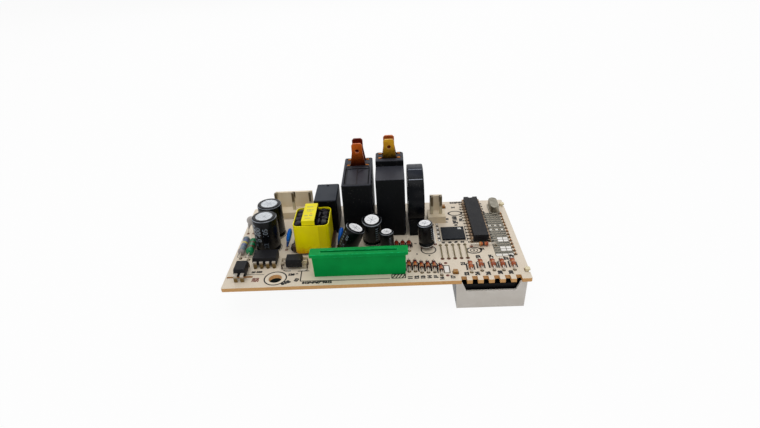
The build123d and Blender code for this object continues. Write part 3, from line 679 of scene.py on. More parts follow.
def standing(x, y, z=0.0, right=0.0, back=0.0, turn=0.0):
    """The place of a part on the board that may lean to the right and to the back, in degrees."""
    return (Matrix.Translation(on_board(x, y, z)) @ rotated(right, "Y") @ rotated(-back, "X")
            @ rotated(turn, "Z"))


def block(bm, place, size, slot=0):
    """A box at a place with its size in millimetres and its finish. Gives back its corners."""
    corners = bmesh.ops.create_cube(bm, size=1.0, matrix=place @ Matrix.Diagonal((*(Vector(size) * MM), 1)))
    use_slot({face for corner in corners["verts"] for face in corner.link_faces}, slot)
    return corners["verts"]


def collect(bm, part, place=Matrix.Identity(4)):
    """Adds a part's mesh to a piece, at its place."""
    bmesh.ops.transform(part, matrix=place, verts=part.verts)
    carrier = bpy.data.meshes.new("carrier")
    part.to_mesh(carrier)
    part.free()
    bm.from_mesh(carrier)
    bpy.data.meshes.remove(carrier)


def turned(profile, steps=32, bands=()):
    """Turns a profile of (radius, height) in millimetres about Z. Bands are (low, high, finish)."""
    part = bmesh.new()
    line = [part.verts.new((radius * MM, 0, height * MM)) for radius, height in profile]
    edges = [part.edges.new(pair) for pair in zip(line, line[1:])]
    bmesh.ops.spin(part, geom=line + edges, cent=(0, 0, 0), axis=(0, 0, 1), angle=tau, steps=steps,
                   use_merge=True)
    bmesh.ops.remove_doubles(part, verts=part.verts, dist=SAME_PLACE)
    for face in part.faces:
        height = face.calc_center_median().z / MM
        for low, high, slot in bands:
            if low < height < high:
                face.material_index = slot
    return part


sample = turned([(1, 0), (2, 0), (2, 1), (1, 1), (1, 0)])
print("a turned ring has faces:", len(sample.faces))
sample.free()

# %% [markdown]
# ### Holes
# Each lead needs a hole, and it is easiest to note the hole where the lead is made. The holes themselves are
# made at the end, from these notes.

# %% Notes of the holes
holes = []


def hole(x, y, across=1.25, finish_slot=0):
    """Notes a lead's hole: its place, the width of its brown rim, and the rim's finish."""
    holes.append((x, y, across, finish_slot))


def hole_under(point, across=1.25, finish_slot=0):
    """Notes a hole under a point of the frame."""
    hole((point.x - board_low.x) / MM, (point.y - board_low.y) / MM, across, finish_slot)


print("holes noted:", len(holes))

# %% [markdown]
# ## The laminate
# The board is pressed paper and resin: pale on the side with the parts, with a fine fleck, and brown where
# it is cut, because the saw and the punch scorch the resin. One material can do both: the face's direction
# says which side it is. The copper side gets a green lacquer, as such boards have.

# %% Laminate finish
material, tree, shader = new_finish("board")
grid = own_place(tree)
up = facing_up(tree)
upward = ramp(tree, up, 0.3, 0.7)
downward = ramp(tree, up, -0.3, -0.7)
fleck = ramp(tree, clouds(tree, grid, 2600.0, 4.0, 0.7), 0.35, 0.7)
cloud = ramp(tree, clouds(tree, grid, 60.0, 2.0), 0.3, 0.7)
flux = ramp(tree, clouds(tree, grid, 260.0, 3.0, 0.6), 0.60, 0.75, 0.0, 0.35)
top_colour = blend_colour(tree, cloud, tint(223, 208, 187), tint(217, 203, 181))
top_colour = blend_colour(tree, times(tree, fleck, 0.35), top_colour, tint(236, 226, 208))
top_colour = blend_colour(tree, times(tree, flux, 0.5), top_colour, tint(206, 184, 148))
layers = node_in(tree, "ShaderNodeMapping", Scale=(1.0, 1.0, 14.0))
tree.links.new(grid, layers.inputs["Vector"])
plies = ramp(tree, clouds(tree, layers.outputs[0], 900.0, 3.0), 0.35, 0.68)
cut_colour = blend_colour(tree, plies, tint(194, 136, 70), tint(218, 172, 108))
lacquer = blend_colour(tree, cloud, tint(52, 104, 62), tint(44, 92, 54))
colour = blend_colour(tree, upward, cut_colour, top_colour)
colour = blend_colour(tree, downward, colour, lacquer)
tree.links.new(colour, shader.inputs["Base Color"])
tree.links.new(ramp(tree, fleck, 0.0, 1.0, 0.42, 0.55), shader.inputs["Roughness"])
relief = node_in(tree, "ShaderNodeBump", Strength=0.12, Distance=0.02 * MM)
tree.links.new(plus(tree, fleck, plies), relief.inputs["Height"])
tree.links.new(relief.outputs["Normal"], shader.inputs["Normal"])
dress("circuit_board", "board")
print("laminate nodes:", len(tree.nodes))

# %% [markdown]
# ## Relays and their push-on tabs
# Each power relay is a glossy black moulded box with two flat copper or brass tabs on top, for the push-on
# connectors of the heavy wires. The boxes are softened copies of the solids. The tabs are punched from strip,
# so their edges are only just broken.

# %% Relays
for node in ("relay_1_case", "relay_2_case"):
    soften(node, 0.12, "relay_black")
soften("small_relay_case", 0.12, "small_relay_black")
for node in ("relay_1_base", "relay_2_base", "small_relay_base"):
    soften(node, 0.1, "relay_base_black")
for end, ending in (("front", ""), ("rear", "_rear")):
    soften(f"relay_1_{end}_terminal", 0.07, "copper_tab" + ending)
    soften(f"relay_2_{end}_terminal", 0.07, "brass_tab" + ending)

# %% [markdown]
# ### Feet of the tabs
# A tab is held by a wider foot inside the case. Beside each tab a corner of that foot shows as a small bright
# lump, with a moulding pit behind it whose shade is painted as a thin black patch. The lumps are bevelled
# boxes, slightly turned, as stamped metal is never quite square.

# %% Feet of the tabs
RELAY_TOPS = {1: 25.0, 2: 29.6}
metal("foot_gold", (226, 150, 70), (170, 74, 40), 0.6, 0.34, scale=700.0)
plastic("pit_painted_shade", (4, 4, 7), (8, 6, 12), (20, 20, 24), 0.5, gloss=0.1)
bm = bmesh.new()
for relay, case_top in RELAY_TOPS.items():
    for end in ("front", "rear"):
        low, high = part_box(f"relay_{relay}_{end}_terminal")
        tab_foot = Matrix.Translation(((low.x + high.x) / 2, low.y, case_top * MM))
        for side in (-1, 1):
            # Painted shade: a thin black patch stands for the shade in the pit beside each tab.
            block(bm, tab_foot @ Matrix.Translation(Vector((side * 4.3, 1.5, 0)) * MM), (1.9, 0.9, 0.06), 1)
            beside = tab_foot @ Matrix.Translation(Vector((side * 4.05, 0.3, 0.1)) * MM)
            lump = block(bm, beside @ rotated(side * -14, "Z"), (1.5, 0.7, 0.4))
            round_edges(bm, {edge for corner in lump for edge in corner.link_edges}, 0.14)
finish_piece("tab_feet", bm, ["foot_gold", "pit_painted_shade"])

# %% [markdown]
# ### Moulding lines
# The left relay's lid carries fine raised lines and their shade, where the halves of its mould met. Each is a
# very low bar that lies on the lid.

# %% Moulding lines on the left relay
plastic("mould_line", (30, 30, 33), (22, 22, 25), (60, 60, 64), 0.5, gloss=0.3)
plastic("mould_shade", (3, 3, 4), (5, 5, 6), (14, 14, 16), 0.7, gloss=0.1)


def laid_bar(bm, start, end, level, width, height, slot):
    """A straight bar between two places in millimetres on the board, about its middle height."""
    first, last = on_board(*start, level), on_board(*end, level)
    run = last - first
    place = Matrix.Translation((first + last) / 2) @ Matrix.Rotation(atan2(run.y, run.x), 4, "Z")
    block(bm, place, (run.length / MM, width, height), slot)


# start, end, width, finish
moulding_lines = (
    ((47.1, 52.4), (57.0, 52.4), 0.4, 1), ((47.1, 35.0), (47.1, 52.4), 0.3, 1),
    ((57.0, 35.0), (57.0, 52.4), 0.3, 1), ((47.5, 35.0), (47.5, 52.0), 0.2, 0),
    ((52.05, 35.0), (52.05, 50.6), 0.28, 0), ((48.2, 50.9), (56.2, 50.9), 0.24, 0),
    ((52.4, 46.6), (54.6, 49.4), 0.2, 0), ((46.4, 35.0), (57.6, 35.0), 0.2, 0),
)
bm = bmesh.new()
for start, end, width, slot in moulding_lines:
    laid_bar(bm, start, end, RELAY_TOPS[1], width, 0.12, slot)
finish_piece("relay_1_moulding_lines", bm, ["mould_line", "mould_shade"])

# %% [markdown]
# ## Buzzer
# The buzzer is a flat drum that stands on edge in a block. A lathe makes such a shape: in Blender that is a
# profile spun about an axis. The rim's corners are eased, and one face has a round sound opening with a
# raised lip.

# %% Buzzer
low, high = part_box("buzzer_case")
radius = (high.z - low.z) / 2 / MM
half = (high.x - low.x) / 2 / MM
axis_place = Matrix.Translation((low + high) / 2) @ rotated(90, "Y")
bm = bmesh.new()
near_side = [(0, -half + 0.7), (1.9, -half + 0.7), (2.0, -half), (3.0, -half), (3.2, -half + 0.25),
        (radius - 1.6, -half + 0.25), (radius - 1.3, -half), (radius - 0.5, -half)]
rim = [(radius - 0.12, -half + 0.12), (radius, -half + 0.5), (radius, half - 0.5),
       (radius - 0.12, half - 0.12)]
far_side = [(radius - 0.5, half), (radius - 1.6, half), (radius - 1.9, half - 0.2), (0, half - 0.2)]
collect(bm, turned(near_side + rim + far_side, steps=72), axis_place)
finish_piece("buzzer_drum", bm, ["buzzer_black"], ["buzzer_case"])
soften("buzzer_stand", 0.15, "buzzer_black")

# %% [markdown]
# ### Painted highlights
# Two pale lines cross the rim: they are painted highlights, where the curved rim would mirror the lamps. They
# are thin bars that follow the rim, set off from the top by their lean about the drum's axis.

# %% Painted highlights across the buzzer's rim
plastic("rim_painted_highlight", (150, 156, 170), (96, 102, 116), (170, 176, 188), 0.3)
bm = bmesh.new()
# Painted highlight: two pale bars where the curved rim would mirror the lamps.
for lean in (11, 36):
    on_rim = Matrix.Translation((low + high) / 2) @ rotated(lean, "X") @ Matrix.Translation(
        (0, 0, (radius + 0.01) * MM))
    block(bm, on_rim, (2 * (half - 0.55), 0.3, 0.08))
finish_piece("buzzer_rim_painted_highlights", bm, ["rim_painted_highlight"])

# %% [markdown]
# ## Transformer
# A small ferrite transformer is wound on a plastic former, clamped by two core halves and wrapped in yellow
# polyester tape: one belt round the outside and one strap over the top. The tape is glossy and thin, the
# fields inside the belt are dark.

# %% Transformer
soften("transformer_core", 0.2, "transformer_black")
soften("transformer_tape", 0.06, "yellow_tape")
soften("transformer_strap", 0.06, "yellow_tape")
soften("transformer_bobbin", 0.1, "former_brown")
dress("transformer_pins", "tinned")

# %% [markdown]
# ### Winding ends
# At the left foot the ends of the windings come out of the former and are wound round its pin, as a short
# dark coil with one paler turn. A turn is a small circle spun about the coil's axis.

# %% Winding ends at the left foot
plastic("enamel_dark", (20, 12, 10), (70, 34, 20), (120, 80, 50), 0.24, gloss=0.5)
plastic("enamel_light", (150, 126, 110), (110, 70, 50), (180, 160, 140), 0.24)
COIL, ENAMEL = 1.35, 0.2
bm = bmesh.new()
for index in range(6):
    section = [(COIL + ENAMEL * cos(step * tau / 8), ENAMEL * sin(step * tau / 8)) for step in range(9)]
    wrap = turned(section, steps=24)
    use_slot(wrap.faces, int(index == 2))
    collect(bm, wrap, standing(25.3, 23.3 + index * 0.45, 2.0) @ rotated(90, "X"))
finish_piece("transformer_winding_ends", bm, ["enamel_dark", "enamel_light"], smooth=60)

# %% [markdown]
# ### Tape end and stamp
# The belt ends in an overlap that shows as a slightly darker strip near its corner. On the strap lies a
# stamp, so faded that only patches are left. Both are patches a few hundredths of a millimetre thick.

# %% Tape end and a faded stamp
plastic("tape_shade", (226, 210, 2), (214, 196, 2), (236, 222, 60), 0.3, gloss=0.12)
plastic("tape_stamp", (196, 190, 60), (176, 166, 70), (214, 206, 90), 0.4)
plastic("tape_dot", (240, 160, 20), (226, 140, 20), (250, 190, 60), 0.4)


def film(bm, low, high, slot):
    """A thin patch between two corners in millimetres on the board."""
    first, last = on_board(*low), on_board(*high)
    block(bm, Matrix.Translation((first + last) / 2), (last - first) / MM, slot)


strap_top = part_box("transformer_strap")[1].z / MM
# x, y, width, depth, finish
stamp_marks = (
    (32.2, 33.2, 2.6, 0.7, 1), (31.6, 30.5, 0.7, 0.9, 1), (32.6, 30.5, 0.9, 1.0, 1),
    (33.7, 30.5, 0.6, 0.7, 1), (32.5, 29.2, 1.8, 0.4, 1), (33.3, 27.4, 0.9, 0.6, 2),
    (31.4, 25.8, 1.4, 1.0, 1), (33.3, 25.8, 1.4, 1.0, 1), (32.3, 23.6, 2.2, 0.5, 1),
)
bm = bmesh.new()
film(bm, (36.4, 20.93, 1.4), (39.6, 21.02, 13.7), 0)
for x, y, wide, deep, slot in stamp_marks:
    film(bm, (x - wide / 2, y - deep / 2, strap_top - 0.02),
         (x + wide / 2, y + deep / 2, strap_top + 0.03), slot)
finish_piece("tape_end_and_stamp", bm, ["tape_shade", "tape_stamp", "tape_dot"])

# %% [markdown]
# ### Varnish
# A finished transformer is dipped in varnish, which dries in dark squarish lumps in the two fields beside the
# strap. Each starts as a ball, is made squarer by a power below one, and uneven by a noise.

# %% Lumps of varnish on the core
SQUARENESS = 0.62
# middle, half width, half length
lumps = ((28.1, 24.3, 1.3, 1.9), (28.0, 27.6, 1.4, 1.7), (28.2, 30.7, 1.3, 1.8), (28.1, 33.7, 1.3, 1.5),
         (36.3, 25.0, 0.7, 2.6), (36.2, 30.4, 0.7, 2.9), (38.5, 24.6, 1.4, 1.9), (38.4, 28.1, 1.5, 1.7),
         (38.6, 31.6, 1.4, 1.9), (37.6, 34.3, 1.6, 1.0))
bm = bmesh.new()
for x, y, wide, deep in lumps:
    lump = bmesh.new()
    bmesh.ops.create_icosphere(lump, subdivisions=3, radius=1.0)
    for vert in lump.verts:
        vert.co = Vector([abs(side) ** SQUARENESS * (1 if side > 0 else -1) for side in vert.co])
        vert.co *= 0.92 + 0.3 * noise.noise(vert.co * 1.6 + Vector((x, y, 0)))
    collect(bm, lump, Matrix.Translation(on_board(x, y, 13.5))
            @ Matrix.Diagonal((wide * MM, deep * MM, 0.7 * MM, 1)))
finish_piece("core_varnish_lumps", bm, ["transformer_lump"], smooth=60)

# %% [markdown]
# ## Electrolytic capacitors
# An electrolytic capacitor is a drawn aluminium can in a shrunk plastic sleeve. The sleeve covers the wall
# and curls over the rim, so that only a silver disc shows on top, and the can is pinched in near its foot to
# hold a rubber bung. Both are round, so both are turned from a profile, and leaning ones are turned upright
# and then tilted into place.

# %% Capacitor shapes
GROOVE = 1.7
SLEEVE = 0.15
plastic("sleeve_print", (118, 128, 138), (64, 72, 80), (140, 148, 158), 0.34)
# Painted highlight: a pale, broken band on the sleeve's curled rim stands for the light it catches.
plastic("sleeve_rim_painted_highlight", (30, 34, 40), (176, 182, 190), (180, 186, 194), 0.2, gloss=0.5)


def can_profile(radius, height, silver):
    """The can: the bung's foot, the pinched groove, the wall and the slightly sunken top."""
    return [(0, 0.35), (radius * 0.5, 0.3), (radius * 0.82, 0.0), (radius - 0.15, 0.0),
            (radius - 0.02, 0.25), (radius - 0.02, GROOVE - 0.5), (radius - 0.45, GROOVE),
            (radius - 0.02, GROOVE + 0.5), (radius - 0.02, height - 0.6), (radius - 0.2, height - 0.2),
            (radius - 0.6, height - 0.05), (silver, height - 0.05), (silver - 0.3, height - 0.22),
            (0, height - 0.22)]


def sleeve_profile(radius, height, silver):
    """The sleeve: it follows the groove, and its upper edge lies on the can's rim."""
    out = radius + SLEEVE
    return [(radius - 0.02, 0.6), (out, 0.6), (out, GROOVE - 0.5), (out - 0.4, GROOVE), (out, GROOVE + 0.5),
            (out, height - 0.7), (out - 0.06, height - 0.42), (out - 0.25, height - 0.16),
            (out - 0.55, height - 0.02), (silver + 0.15, height), (silver, height - 0.03),
            (silver, height - 0.12), (radius - 0.5, height - 0.12)]


def vent_score(radius, height):
    """The three pressed lines on a can's top, where it may open under pressure."""
    part = bmesh.new()
    # Painted shade: the pressed grooves are darker bars lying on the top.
    for angle in (15, 75, 135):
        place = rotated(angle, "Z") @ Matrix.Translation((0, 0, height * MM))
        block(part, place, (radius * 1.5, 0.12, 0.03), 2)
    return part


print("places in a can's profile:", len(can_profile(5, 15, 3)))

# %% [markdown]
# ### Print on a sleeve
# A sleeve is printed flat before it shrinks, so the print is made flat too: plain figures from a text curve,
# made into a mesh, and short bars for the negative side. Then each corner is wrapped round the can: its
# sideways place becomes an angle, and its height over the paper becomes a slightly larger radius.

# %% Print on a sleeve
INK = 0.03


def figures(text, size, bold=0.02):
    """Plain figures in raised ink on the XY plane, centred on the origin, with their size in mm."""
    curve = bpy.data.curves.new("figures", "FONT")
    curve.body = text
    curve.align_x, curve.align_y = "CENTER", "CENTER"
    curve.resolution_u = 2
    curve.offset = bold
    curve.extrude = INK / size / 2
    writing = bpy.data.objects.new("figures", curve)
    mesh = bpy.data.meshes.new_from_object(writing)
    part = bmesh.new()
    part.from_mesh(mesh)
    bpy.data.objects.remove(writing)
    bpy.data.curves.remove(curve)
    bpy.data.meshes.remove(mesh)
    bmesh.ops.scale(part, vec=(size * MM, size * MM, size * MM), verts=part.verts)
    bmesh.ops.translate(part, vec=(0, 0, INK / 2 * MM), verts=part.verts)
    return part


def on_sleeve(part, radius, height, facing):
    """Wraps a flat print, which runs up the sleeve, round a can of this radius."""
    bmesh.ops.rotate(part, cent=(0, 0, 0), verts=part.verts, matrix=Matrix.Rotation(radians(90), 3, "Z"))
    for vert in part.verts:
        reach = radius * MM + vert.co.z
        turn = vert.co.x / (radius * MM) + radians(facing)
        vert.co = Vector((reach * cos(turn), reach * sin(turn), vert.co.y + height * MM))
    use_slot(part.faces, 1)
    return part


def stripe_marks(radius, low, high, facing):
    """A column of six short printed bars on a sleeve, which marks the negative lead's side."""
    part = bmesh.new()
    pitch = (high - low) / 6
    for index in range(6):
        bar = bmesh.new()
        bmesh.ops.create_grid(bar, x_segments=1, y_segments=6, size=0.5,
                              matrix=Matrix.Diagonal((pitch * 0.45 * MM, radius * 0.3 * MM, 1, 1)))
        bmesh.ops.solidify(bar, geom=bar.faces[:], thickness=-INK * MM)
        collect(part, on_sleeve(bar, radius, low + (index + 0.5) * pitch, facing))
    return part


print("ink thickness, mm:", INK)

# %% [markdown]
# ### A whole capacitor
# Every capacitor on the board is the same in kind, so one function makes the can with its scored top and the
# sleeve with its print, from its own sizes. Then a list places them.

# %% Mains capacitors
def capacitor(name, frame_place, radius, height, silver_share, facing, prints, can="capacitor_can"):
    """A can and its sleeve on the can's own frame. Prints are (figures, size, height, facing)."""
    silver = radius * silver_share
    drawn_can = bmesh.new()
    collect(drawn_can, turned(can_profile(radius, height, silver), steps=48, bands=[(-1, 0.32, 1)]),
            frame_place)
    collect(drawn_can, vent_score(silver * 0.9, height - 0.21), frame_place)
    finish_piece(name + "_drawn_can", drawn_can, [can, "rubber_bung", "can_score"],
                 [name + "_can"], smooth=28)
    sleeve = bmesh.new()
    # The band just under the rim takes the painted highlight.
    rim = [(height - 0.36, height - 0.12, 2)]
    collect(sleeve, turned(sleeve_profile(radius, height, silver), steps=48, bands=rim), frame_place)
    collect(sleeve, stripe_marks(radius + SLEEVE, 3.0, height - 1.6, facing), frame_place)
    for text, size, level, side in prints:
        collect(sleeve, on_sleeve(figures(text, size), radius + SLEEVE, level, side), frame_place)
    finish_piece(name + "_shrunk_sleeve", sleeve, ["capacitor_sleeve", "sleeve_print", "sleeve_rim_painted_highlight"],
                 [name + "_sleeve"], smooth=40)


mains_capacitors = ((13.6, 27.9), (13.7, 39.0))
for index, (x, y) in enumerate(mains_capacitors, start=1):
    capacitor(f"mains_capacitor_{index}", standing(x, y), 5.0, 15.6, 0.70, facing=222,
              prints=[("10 400", 3.1, 8.6, 246), ("105", 2.9, 10.2, 280), ("22", 2.6, 4.2, 276)])
    hole(x - 2.5, y)
    hole(x + 2.5, y)

# %% [markdown]
# ### Output capacitors
# These smooth the low voltage. Two are bent over on their leads to clear their neighbours, so each has its
# own lean. Only the first turns its print to the front.

# %% Output capacitors
# x, y, radius, height, stand, lean right, lean back, silver share, side of the stripe
output_capacitors = (
    (46.9, 20.3, 3.85, 11.9, 2.0, 24.0, 1.5, 0.74, 208),
    (57.8, 29.2, 4.0, 11.8, 1.4, 1.0, -13.0, 0.74, 300),
    (63.9, 22.5, 2.75, 8.6, 0.8, 0.0, 0.0, 0.76, 300),
    (80.3, 23.8, 3.0, 10.4, 1.5, -4.0, 0.0, 0.80, 322),
)
for index, row in enumerate(output_capacitors, start=1):
    x, y, radius, height, stand, right, back, silver, stripe = row
    prints = [("470", radius * 0.4, height * 0.66, 240), ("16", radius * 0.4, height * 0.34, 232)]
    capacitor(f"output_capacitor_{index}", standing(x, y, stand, right, back), radius, height, silver,
              facing=stripe, can="bright_can", prints=prints if index == 1 else ())

# %% [markdown]
# ## Wire
# Leads and links are tinned round wire. A real lead is straight, then bent over a small radius, then
# straight again, and we make it the same way: a circle is extruded along each run and spun round each bend.

# %% Bend a wire
LEAD = 0.55


def wire(points, diameter, bend=0.45):
    """A round wire through the points, in millimetres, with a rounded bend at each inner one."""
    corners = [Vector(point) * MM for point in points]
    runs = [(after - before).normalized() for before, after in zip(corners, corners[1:])]
    part = bmesh.new()
    start = Matrix.Translation(corners[0]) @ runs[0].to_track_quat("Z", "Y").to_matrix().to_4x4()
    bmesh.ops.create_circle(part, segments=8, radius=diameter * MM / 2, cap_ends=True, matrix=start)
    ring = list(part.edges)
    spent = 0.0
    for index, run in enumerate(runs):
        reach = (corners[index + 1] - corners[index]).length - spent
        last = index == len(runs) - 1
        if not last:
            angle = run.angle(runs[index + 1])
            trim = bend * MM * tan(angle / 2)
            reach -= trim
        grown = bmesh.ops.extrude_edge_only(part, edges=ring)["geom"]
        moved = [item for item in grown if isinstance(item, bmesh.types.BMVert)]
        bmesh.ops.translate(part, vec=run * reach, verts=moved)
        ring = [item for item in grown if isinstance(item, bmesh.types.BMEdge)
                and all(vert in set(moved) for vert in item.verts)]
        if last:
            bmesh.ops.contextual_create(part, geom=ring)
        else:
            corner = corners[index + 1]
            toward = (runs[index + 1] - run * run.dot(runs[index + 1])).normalized()
            centre = corner - run * trim + toward * bend * MM
            spun = bmesh.ops.spin(part, geom=ring + moved, cent=centre, axis=run.cross(runs[index + 1]),
                                  angle=angle, steps=4)["geom_last"]
            ring = [item for item in spun if isinstance(item, bmesh.types.BMEdge)]
            spent = trim
    return part


bm = bmesh.new()
for x, y, radius, _, stand, right, back, _, _ in output_capacitors:
    for side in (-1, 1):
        head = standing(x, y, stand, right, back) @ Vector((side * 0.64 * radius * MM, 0, 0.4 * MM))
        foot = Vector((head.x, head.y, 0))
        collect(bm, wire([foot / MM, head / MM], LEAD))
        hole_under(foot)
finish_piece("output_capacitor_wires", bm, ["tinned"], ["output_capacitor_leads"])

# %% [markdown]
# ## Small axial parts
# Diodes and resistors lie on the board between two bent leads. Their bodies are turned: a short barrel that
# swells at each end, where the lead's cap sits under the coating. Bands of colour are faces of the same
# turned body, with their own finishes.

# %% Axial bodies
PITCH = 2.54
ROW = 3 * PITCH


def barrel(length, diameter, swell, bands):
    """A turned body on Z about its own centre, thicker by the swell near its ends."""
    half, radius = length / 2, diameter / 2
    waist = radius - swell
    upper = [(0.3, half), (radius * 0.62, half - 0.02), (radius * 0.9, half - 0.16 * diameter),
             (radius, half - 0.3 * diameter), (radius, half - 0.46 * diameter),
             (waist, half - 0.62 * diameter)]
    inner = half - 0.62 * diameter
    marks = sorted({height for low, high, _ in bands for height in (low, high) if -inner < height < inner})
    middle = [(waist, height) for height in reversed(marks)]
    lower = [(radius, -height) for radius, height in reversed(upper)]
    profile = [(0, half)] + upper + middle + lower + [(0, -half)]
    return turned(profile, steps=20, bands=bands)


def axial(body_mesh, lead_mesh, x, y, length, diameter, span, turn=0.0, swell=0.12, bands=()):
    """Adds one axial part: its body to one piece and its two leads to another."""
    lift = diameter / 2 + 0.1
    lying = standing(x, y, lift, turn=turn) @ rotated(90, "X")
    collect(body_mesh, barrel(length, diameter, swell, bands), lying)
    for side in (-1, 1):
        points = [(0, side * (length / 2 - 0.1), lift), (0, side * span / 2, lift), (0, side * span / 2, 0)]
        collect(lead_mesh, wire(points, LEAD), standing(x, y, turn=turn))
        foot = standing(x, y, turn=turn) @ Vector((0, side * span / 2 * MM, 0))
        hole_under(foot, 1.4, int(side < 0))


print("lead rows are apart, mm:", ROW)

# %% [markdown]
# ### Rows of diodes and small resistors
# The parts of a row share one body and differ only in their places, so each row is a list of places and one
# list of colour bands. All their leads go into one mesh, as the CAD has them.

# %% Rows of axial parts
# The amber bands are painted highlights on the glass. The dark bands are partly the cathode band and partly
# painted shade at the ends.
plastic("glass_orange", (186, 98, 46), (146, 62, 30), (232, 160, 100), 0.16, dust=0.03, gloss=0.45)
plastic("diode_dark", (30, 18, 15), (64, 30, 20), (80, 60, 50), 0.25, gloss=0.3)
plastic("red_brown", (142, 48, 28), (98, 30, 18), (200, 110, 70), 0.2, gloss=0.4)
plastic("amber", (196, 140, 76), (166, 106, 50), (236, 200, 150), 0.16, gloss=0.45)
axial_finishes = ["glass_orange", "diode_dark", "red_brown", "amber"]
# bands: (from, to, finish) along the body, whose negative end is at the back
axial_bands = {
    "front_row_diodes": [(-2, -0.9, 1), (-0.9, -0.3, 2), (0.5, 1.3, 3), (1.6, 2, 1)],
    "right_row_resistors": [(-2, -0.9, 2), (-0.2, 0.3, 3), (0.9, 1.4, 2)],
    "back_row_diodes": [(-2, -0.9, 1), (-0.9, 0.7, 2), (1.4, 2, 1)],
}
# (x, y) of the front lead of each part
front_row = [(72.4 + index * 2.47, pad) for index, pad in enumerate((7.0, 7.0, 6.0, 6.0, 6.0, 3.9))]
right_row = ((96.4, 5.0), (100.5, 5.9), (105.2, 5.9), (108.8, 5.7), (113.0, 5.8))
back_row = [(67.8 + index * 2.6, 21.6) for index in range(3)]
axial_wires = bmesh.new()
for node, places, thick in (("front_row_diodes", front_row, 1.65), ("right_row_resistors", right_row, 1.9),
                            ("back_row_diodes", back_row, 1.9)):
    bm = bmesh.new()
    for x, pad in places:
        axial(bm, axial_wires, x, pad + ROW / 2, 3.8, thick, ROW, bands=axial_bands[node])
    finish_piece(node + "_turned", bm, axial_finishes, [node], smooth=50)
bm = bmesh.new()
axial(bm, axial_wires, 103.8, 23.4, 3.8, 1.9, 4 * PITCH, turn=90,
      swell=0.32, bands=[(-0.5, 0.3, 1), (0.9, 1.5, 2), (-2, -1.4, 3)])
finish_piece("cross_diode_turned", bm, axial_finishes, ["cross_diode"], smooth=50)

# %% [markdown]
# ### Power resistor and choke
# The two larger parts at the left edge take the mains current. They are the same kind of barrel, with a grey
# or green coat and painted bands.

# %% Power resistor and choke
plastic("band_violet", (92, 96, 150), (74, 78, 136), (120, 120, 180), 0.3)
plastic("band_yellow", (226, 200, 60), (210, 180, 40), (240, 224, 130), 0.3)
plastic("band_brown", (112, 44, 34), (92, 34, 26), (160, 90, 60), 0.3)
plastic("end_tan", (158, 148, 144), (140, 130, 128), (190, 184, 180), 0.36)
bm = bmesh.new()
axial(bm, axial_wires, 2.9, 28.0, 11.6, 3.0, 15.2, swell=0.28,
      bands=[(-3.4, -2.5, 1), (-1.5, -0.7, 2), (0.4, 1.3, 1), (5.0, 6, 3)])
finish_piece("power_resistor_turned", bm, ["resistor_grey", "band_violet", "band_yellow", "end_tan"],
             ["power_resistor"], smooth=50)
bm = bmesh.new()
axial(bm, axial_wires, 6.5, 26.9, 10.0, 3.3, 15.2, swell=0.3, bands=[(0.9, 2.0, 1), (-2.2, -1.4, 1)])
finish_piece("banded_choke_turned", bm, ["choke_green", "band_brown"], ["banded_choke"],
             smooth=50)
finish_piece("axial_wires", axial_wires, ["tinned"], ["axial_leads"])

# %% [markdown]
# ## Wire links
# A single-sided board can't cross its tracks, so bare links bridge them on the upper side. Each is a staple
# of tinned wire that lies just clear of the board.

# %% Links
bm = bmesh.new()
# x, front end, length, finish
links = [(86.05 + index * PITCH, 15.0, 10.0, 0) for index in range(5)] + [(84.0, 26.0, 16.0, 1)]
for x, y, length, bright in links:
    points = [(0, 0, 0), (0, 0, 0.6), (0, length, 0.6), (0, length, 0)]
    link = wire(points, 0.52, bend=0.3)
    use_slot(link.faces, bright)
    collect(bm, link, standing(x, y))
    hole(x, y, 1.5)
    hole(x, y + length, 1.4, 1)
finish_piece("wire_links", bm, ["link_wire", "bright_link"], ["jumper_wires"])

# %% [markdown]
# ## Disc capacitors
# A ceramic disc is dipped in coloured resin with its leads attached, so the resin makes a lens-shaped body
# and runs a little way down each lead as a neck. The lens is turned, and so are the necks, as short cones.

# %% Discs
def dipped_disc(body_mesh, lead_mesh, x, y, lean_right, radius, thickness, height, turn):
    """Adds a disc on edge with its two necks, and its leads."""
    own = standing(x, y, right=lean_right, turn=turn)
    half = thickness / 2
    upper = [(0, half), (radius * 0.55, half * 0.92), (radius * 0.82, half * 0.72),
             (radius * 0.95, half * 0.42)]
    profile = upper + [(radius, 0)] + [(reach, -level) for reach, level in reversed(upper)]
    stood = own @ Matrix.Translation((0, 0, height * MM)) @ rotated(90, "Y")
    collect(body_mesh, turned(profile, steps=32), stood)
    for side in (-1, 1):
        head = own @ Vector((0, side * 0.9 * MM, (height - radius * 0.8) * MM))
        foot = standing(x, y, turn=turn) @ Vector((0, side * PITCH / 2 * MM, 0))
        along = (foot - head).normalized()
        neck = turned([(0, 0), (0.72, 0), (0.6, 1.1), (0.42, 2.1), (0.32, 2.6), (0, 2.65)], steps=12)
        use_slot(neck.faces, 1)
        tilt = along.to_track_quat("Z", "Y").to_matrix().to_4x4()
        collect(body_mesh, neck, Matrix.Translation(head) @ tilt)
        collect(lead_mesh, wire([head / MM, foot / MM], 0.5))
        hole_under(foot)


